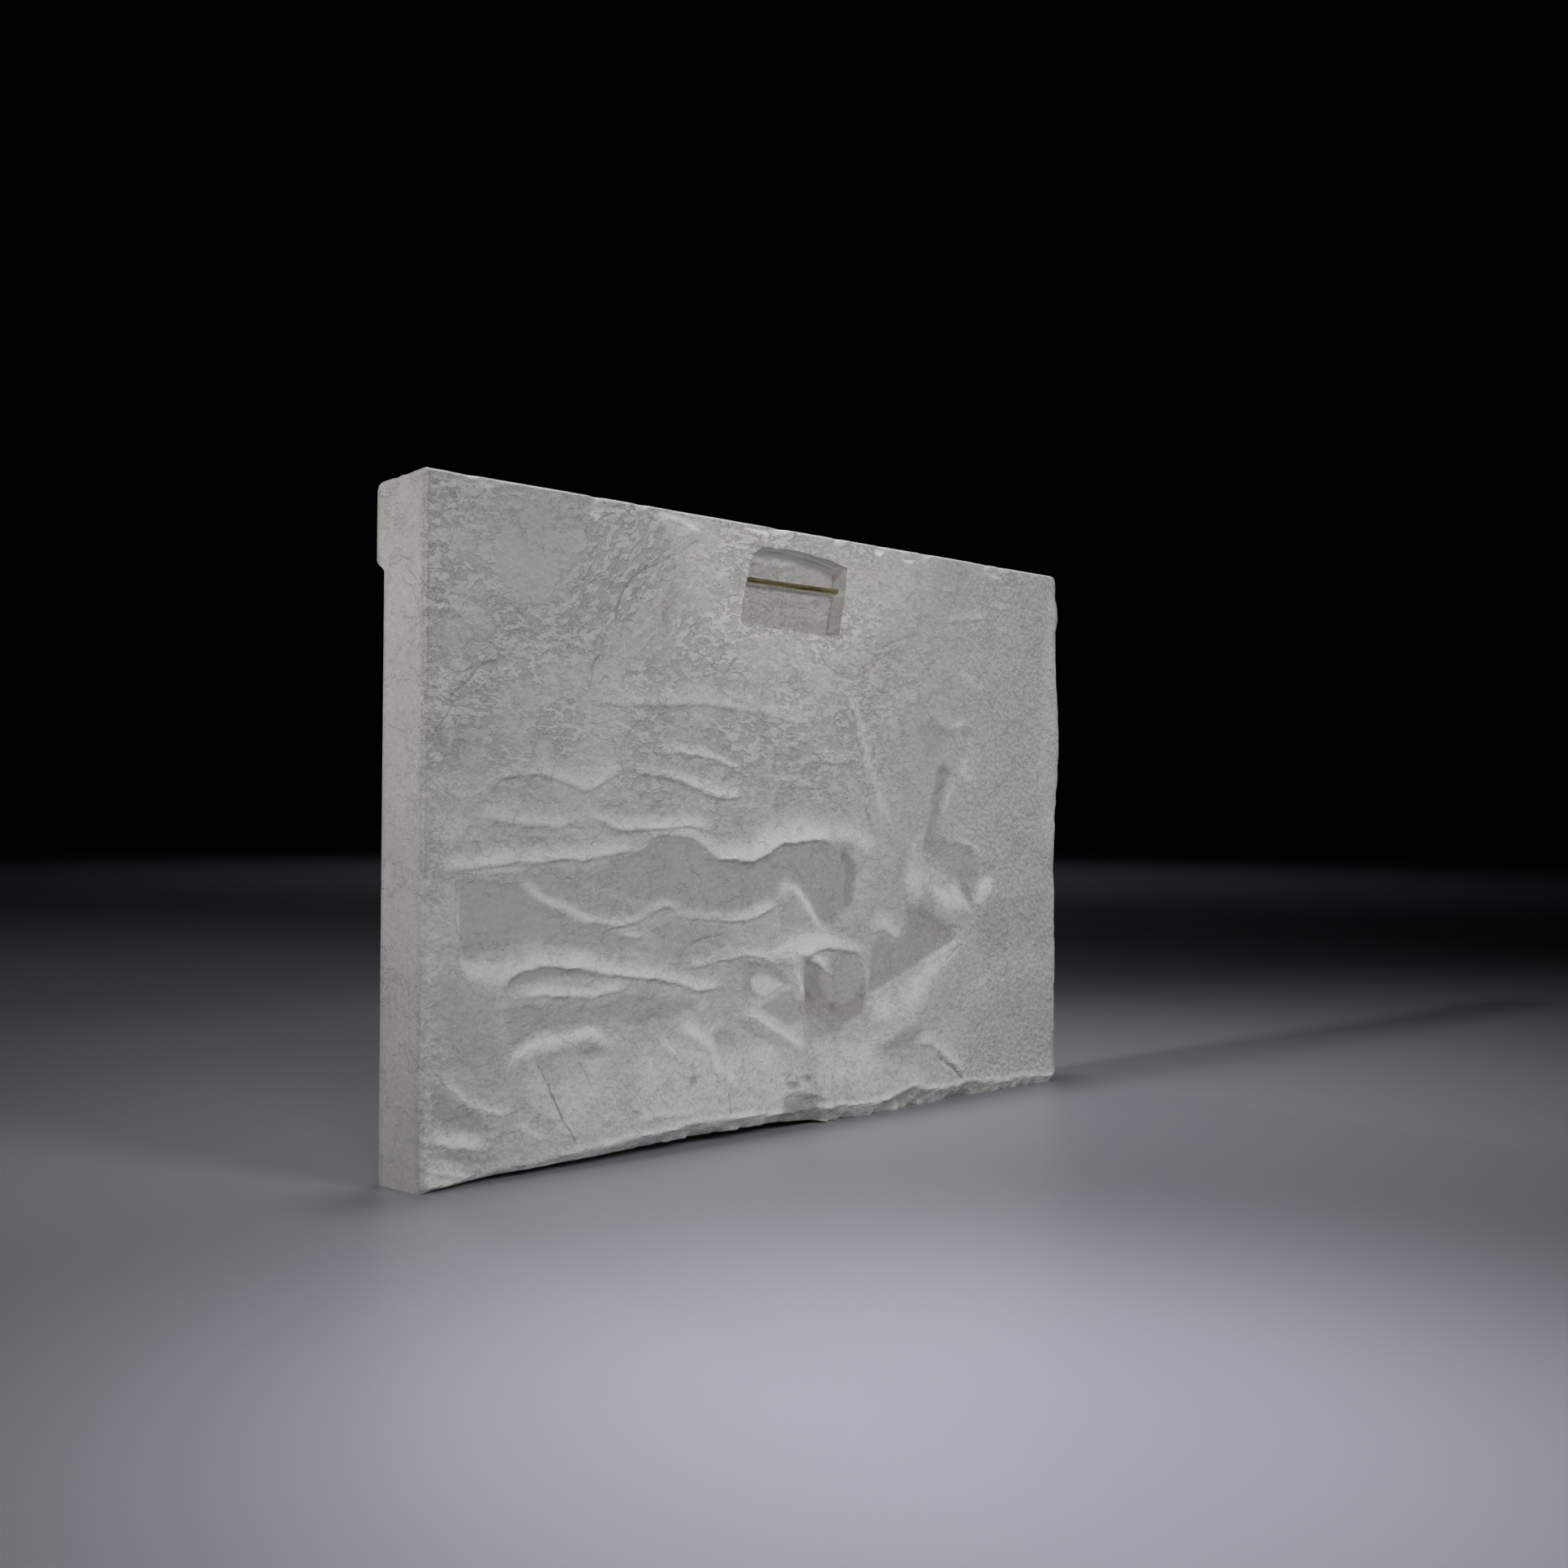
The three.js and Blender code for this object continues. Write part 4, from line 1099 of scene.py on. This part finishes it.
def plaster_material(colours):
    """Dry cast plaster: mottled, grainy, thinly skinned by the trowel, stained, with painted highlight and
    painted shade, the shade deepest in its pits.
    """
    n = Nodes("cast_plaster")
    skin, coarse, dust_and_painted_shade = n.share("skin"), n.share("coarse"), n.share("dust_and_painted_shade")
    speck, crumb, level = n.noise(650, 3), crumb_level(n), flake_level(n)
    flake = n.span(level, 0.475, 0.515)

    # light and dark of the plaster itself, with painted highlight where its crumbs and flakes face up and
    # painted shade where they face down
    tone = n.times(n.less(flake, 0.5), n.times(skin, 0.62))
    tone = n.plus(tone, n.span(n.noise(22, 4, distortion=0.4), 0.35, 0.65, 0.36, 0.64))
    tone = n.plus(tone, n.span(n.noise(330, 5, (0.55, 1, 1.2), 0.3, 0.65), 0.3, 0.7, -0.25, 0.25))
    tone = n.plus(tone, n.times(n.span(crumb, 0.35, 0.65, -0.2, 0.2), coarse))
    # painted highlight and shade: each crumb and flake paler on its upward-facing side, darker on its
    # downward-facing side
    tone = n.plus(tone, n.times(n.less(crumb, crumb_level(n, CRUMB_LIFT)), n.times(coarse, 2.6)))
    tone = n.plus(tone, n.times(n.less(level, flake_level(n, FLAKE_LIFT)), n.times(skin, 1.8)))
    body = n.mix(n.span(tone, 0, 1), rgba(colours.shade), rgba(colours.plaster))

    # grey dust and painted shade in the hollows, painted shade on the pocket floor and along the edge at +X,
    # and dust along the edges of the flakes
    shore = n.span(n.work("ABSOLUTE", n.less(level, 0.485)), 0.016, 0.004)
    dust_and_painted_shade = n.plus(dust_and_painted_shade, n.times(dust_and_painted_shade, n.span(speck, 0.3, 0.7, -0.3, 0.3)))
    dust_and_painted_shade = n.plus(dust_and_painted_shade, n.times(shore, n.times(skin, 0.46)), True)
    body = n.mix(dust_and_painted_shade, body, rgba(colours.dust))

    # white powder and painted highlight, in specks and crumbs
    powder_and_highlight = n.plus(n.times(n.share("white_and_highlight"), 1.25), n.span(speck, 0.2, 0.8, -0.4, 0.4))
    powder_and_highlight = n.plus(powder_and_highlight, n.times(n.span(crumb, 0.42, 0.62, -0.1, 0.36), coarse))
    body = n.mix(n.times(n.span(powder_and_highlight, 0.0, 1.15), 0.95), body, rgba(colours.powder_and_highlight))

    # painted shadow lines, broken here and there, and brown stains with painted shadow in the pits
    gap = n.work("ABSOLUTE", n.less(n.share("shadow_line"), 0.5))
    line = n.times(n.span(gap, 0.5 / SHADOW_LINE_REACH, 0.14 / SHADOW_LINE_REACH), n.share("shadow_line_strength"))
    line = n.times(line, n.span(n.noise(60, 3), 0.4, 0.55, 0.35, 1.0))
    body = n.mix(line, body, rgba(colours.stain_and_shadow))
    body = n.mix(n.share("stain_and_shadow"), body, rgba(colours.stain_and_shadow))
    n.put(n.shader.inputs["Base Color"], body)

    # grain, flakes, broad trowelled patches and the marks drawn down the struck sides
    grain = n.plus(n.times(n.noise(800, 3), 0.3), n.times(crumb, coarse))
    patch = n.span(n.noise(26, 8, (1, 1, 1.3), 0.3, 0.66), 0.5, 0.525)
    drawn = n.times(n.noise(420, 3, (1, 1, 0.05)), n.share("side"))
    normal = n.bump(grain, 1.0 * MM, 0.9)
    normal = n.bump(n.times(flake, skin), 0.35 * MM, 0.7, normal)
    normal = n.bump(patch, 0.4 * MM, 0.7, normal)
    normal = n.bump(drawn, 0.5 * MM, 0.6, normal)
    n.put(n.shader.inputs["Normal"], normal)
    n.shader.inputs["Roughness"].default_value = 0.92
    n.shader.inputs["Specular IOR Level"].default_value = 0.2
    return n.material


def brass_material(colours):
    """Drawn brass rod, rubbed along its length and dark with tarnish."""
    n = Nodes("aged_brass")
    film = n.noise(180, 4, (0.25, 1, 1))
    drawn = n.noise(900, 2, (0.05, 1, 1))
    share = n.span(film, 0.38, 0.62)
    n.put(n.shader.inputs["Base Color"], n.mix(share, rgba(colours.brass), rgba(colours.tarnish)))
    n.put(n.shader.inputs["Roughness"], n.span(share, 0, 1, 0.32, 0.6))
    n.put(n.shader.inputs["Normal"], n.bump(drawn, 0.12 * MM, 0.5))
    n.shader.inputs["Metallic"].default_value = 1.0
    return n.material


def floor_material(colours):
    """Matt pale floor."""
    n = Nodes("pale_floor")
    n.put(n.shader.inputs["Base Color"], rgba(colours.floor))
    n.shader.inputs["Roughness"].default_value = 0.42
    return n.material


def settle(piece, node, material):
    """Gives a piece its material and joins it to the frame in place of its node."""
    piece.data.materials.clear()
    piece.data.materials.append(material)
    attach(piece, "root")
    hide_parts(node)


# Rod: sides around it, cuts along it, how far it sags, its rounded ends and its dents
ROD_SIDES, ROD_CUTS = 24, 40
ROD_SAG, ROD_END = 0.12 * MM, 0.3 * MM
ROD_DENTS = 0.02


class RELIEF_OT_slab(bpy.types.Operator):
    """Build the plaster casting with its rough back, sunk pocket and front relief"""

    bl_idname = "relief.slab"
    bl_label = "Plaster casting"

    def execute(self, context):
        sizes = context.scene.relief_sizes
        columns = 2 * round(WIDTH * MM / sizes.cell_width / 2)
        rows = round(HEIGHT * MM / sizes.cell_height)
        slab = layered_grid("plaster_casting", columns, rows, sizes.layers)
        thin_front_columns(slab, sizes.layers)
        set_points(slab, slab_places(points_of(slab), columns, rows, sizes.layers, sizes))
        pocket = layered_grid("pocket_cutter", *POCKET_CELLS)
        set_points(pocket, pocket_places(points_of(pocket), *POCKET_CELLS, sizes))
        face_out(slab)
        face_out(pocket)
        cut(slab, pocket)
        only(slab)
        bpy.ops.object.shade_smooth_by_angle(angle=math.radians(55))
        paint_plaster(slab)
        settle(slab, SLAB_NODE, plaster_material(context.scene.relief_colours))
        return {"FINISHED"}


class RELIEF_OT_rod(bpy.types.Operator):
    """Build the thin brass rod across the pocket"""

    bl_idname = "relief.rod"
    bl_label = "Hanging rod"

    def execute(self, context):
        sizes = context.scene.relief_sizes
        length = rod_high.x - rod_low.x
        bpy.ops.object.select_all(action="DESELECT")
        bpy.ops.mesh.primitive_cylinder_add(
            vertices=ROD_SIDES, radius=sizes.rod_radius, depth=length, rotation=(0, math.pi / 2, 0)
        )
        rod = context.active_object
        rod.name = rod.data.name = "brass_rod"
        bpy.ops.object.transform_apply(location=True, rotation=True, scale=True)
        bpy.ops.object.mode_set(mode="EDIT")
        for place in np.linspace(-0.5, 0.5, ROD_CUTS + 2)[1:-1] * length:
            bpy.ops.mesh.select_all(action="SELECT")
            bpy.ops.mesh.bisect(plane_co=(place, 0, 0), plane_no=(1, 0, 0))
        bpy.ops.object.mode_set(mode="OBJECT")
        points = points_of(rod)
        x = points[:, 0] / MM
        points[:, 2] -= ROD_SAG * np.cos(x / 31) * (1 - smooth(30, 52, np.abs(x)))
        points[:, 1:] *= (1 + ROD_DENTS * noise(x, points[:, 1] / MM * 4, 6, 171))[:, None]
        set_points(rod, points)
        only(rod)
        bevel = rod.modifiers.new("ends", "BEVEL")
        bevel.width = ROD_END
        bevel.segments = 2
        bevel.limit_method = "ANGLE"
        bevel.angle_limit = math.radians(60)
        bpy.ops.object.modifier_apply(modifier=bevel.name)
        bpy.ops.object.shade_smooth_by_angle(angle=math.radians(40))
        settle(rod, ROD_NODE, brass_material(context.scene.relief_colours))
        return {"FINISHED"}


# Camera of the photograph: where it stands, which way it looks and its lens. Then the floor and the backdrop.
CAMERA_PLACE = Vector((802.5, 745.3, -138.9)) * MM
CAMERA_AZIMUTH, CAMERA_RISE, CAMERA_ROLL = math.radians(133.03), math.radians(0.945), math.radians(-0.355)
CAMERA_LENS, CAMERA_SENSOR = 41.44, 36
FLOOR_WIDTH = 14
BACKDROP = (0.0003, 0.0003, 0.0004, 1)

# Soft round lights: name, place, place aimed at, width, watts, cone in degrees and colour
Light = namedtuple("Light", "name place aim width watts cone colour")
LIGHTS = (
    Light("key", (1.5, 2.2, 1.8), (0.0, 0.0, -0.15), 1.5, 142, 36, (1.0, 0.99, 0.975)),
    Light("side_fill", (3.4, -0.2, 1.5), (0.27, -0.015, -0.02), 0.4, 310, 12, (1.0, 0.985, 0.965)),
    Light("front_fill", (-0.5, 2.8, 1.35), (-0.07, 0.0, -0.07), 1.2, 200, 33, (0.99, 0.99, 1.0)),
    Light("far_side", (-0.4, -2.6, 1.0), (0.0, -0.04, -0.09), 0.5, 75, 17, (1.0, 0.99, 0.98)),
    Light("pocket_light", (1.28, 1.19, -0.22), (-0.006, 0.0, 0.01), 0.04, 25, 6.5, (1.0, 0.99, 0.975)),
    Light("floor_light", (0.5, 0.02, 2.4), (0.35, 0.41, -0.33), 0.3, 385, 14, (0.99, 0.99, 1.0)),
    Light("mid_light", (-0.1, -0.15, 2.6), (0.0, -0.08, -0.33), 0.4, 88, 34, (0.97, 0.98, 1.0)),
    Light("far_light", (-3.0, -3.0, 3.0), (-3.2, -3.2, -0.33), 2.0, 44, 90, (0.97, 0.98, 1.0)),
)


class RELIEF_OT_stage(bpy.types.Operator):
    """Set out the floor, the soft lights and the camera"""

    bl_idname = "relief.stage"
    bl_label = "Stage"

    def execute(self, context):
        bpy.ops.object.select_all(action="DESELECT")
        bpy.ops.mesh.primitive_plane_add(size=FLOOR_WIDTH, location=(0, 0, slab_low.z))
        floor = context.active_object
        floor.name = "floor"
        floor.data.materials.append(floor_material(context.scene.relief_colours))
        for light in LIGHTS:
            bpy.ops.object.light_add(type="SPOT", location=light.place)
            lamp = context.active_object
            lamp.name = light.name
            lamp.data.shadow_soft_size = light.width / 2
            lamp.data.spot_size = math.radians(light.cone)
            lamp.data.spot_blend = 1.0
            lamp.data.energy = light.watts
            lamp.data.color = light.colour
            direction = Vector(light.aim) - Vector(light.place)
            lamp.rotation_euler = direction.to_track_quat("-Z", "Y").to_euler()
        bpy.ops.object.camera_add(
            location=CAMERA_PLACE, rotation=(math.pi / 2 + CAMERA_RISE, CAMERA_ROLL, CAMERA_AZIMUTH)
        )
        camera = context.active_object
        camera.data.lens = CAMERA_LENS
        camera.data.sensor_fit = "HORIZONTAL"
        camera.data.sensor_width = CAMERA_SENSOR
        context.scene.camera = camera
        world = context.scene.world or bpy.data.worlds.new("studio")
        context.scene.world = world
        world.use_nodes = True
        backdrop = world.node_tree.nodes["Background"]
        backdrop.inputs["Color"].default_value = BACKDROP
        context.scene.view_settings.view_transform = "Standard"
        return {"FINISHED"}


class RELIEF_PT_panel(bpy.types.Panel):
    """Lists the relief's pieces, sizes and colours"""

    bl_idname = "RELIEF_PT_panel"
    bl_label = "Plaster relief"
    bl_space_type = "VIEW_3D"
    bl_region_type = "UI"
    bl_category = "Relief"

    def draw(self, context):
        for group in (context.scene.relief_sizes, context.scene.relief_colours):
            for name in group.bl_rna.properties.keys():
                if name not in {"rna_type", "name"}:
                    self.layout.prop(group, name)
        for operator in OPERATORS:
            self.layout.operator(operator.bl_idname)


OPERATORS = (RELIEF_OT_slab, RELIEF_OT_rod, RELIEF_OT_stage)
CLASSES = (ReliefSizes, ReliefColours, *OPERATORS, RELIEF_PT_panel)


def register():
    for entry in CLASSES:
        bpy.utils.register_class(entry)
    bpy.types.Scene.relief_sizes = PointerProperty(type=ReliefSizes)
    bpy.types.Scene.relief_colours = PointerProperty(type=ReliefColours)


def unregister():
    del bpy.types.Scene.relief_colours
    del bpy.types.Scene.relief_sizes
    for entry in reversed(CLASSES):
        bpy.utils.unregister_class(entry)


def main():
    register()
    bpy.ops.relief.slab()
    bpy.ops.relief.rod()
    bpy.ops.relief.stage()


if __name__ == "__main__":
    main()
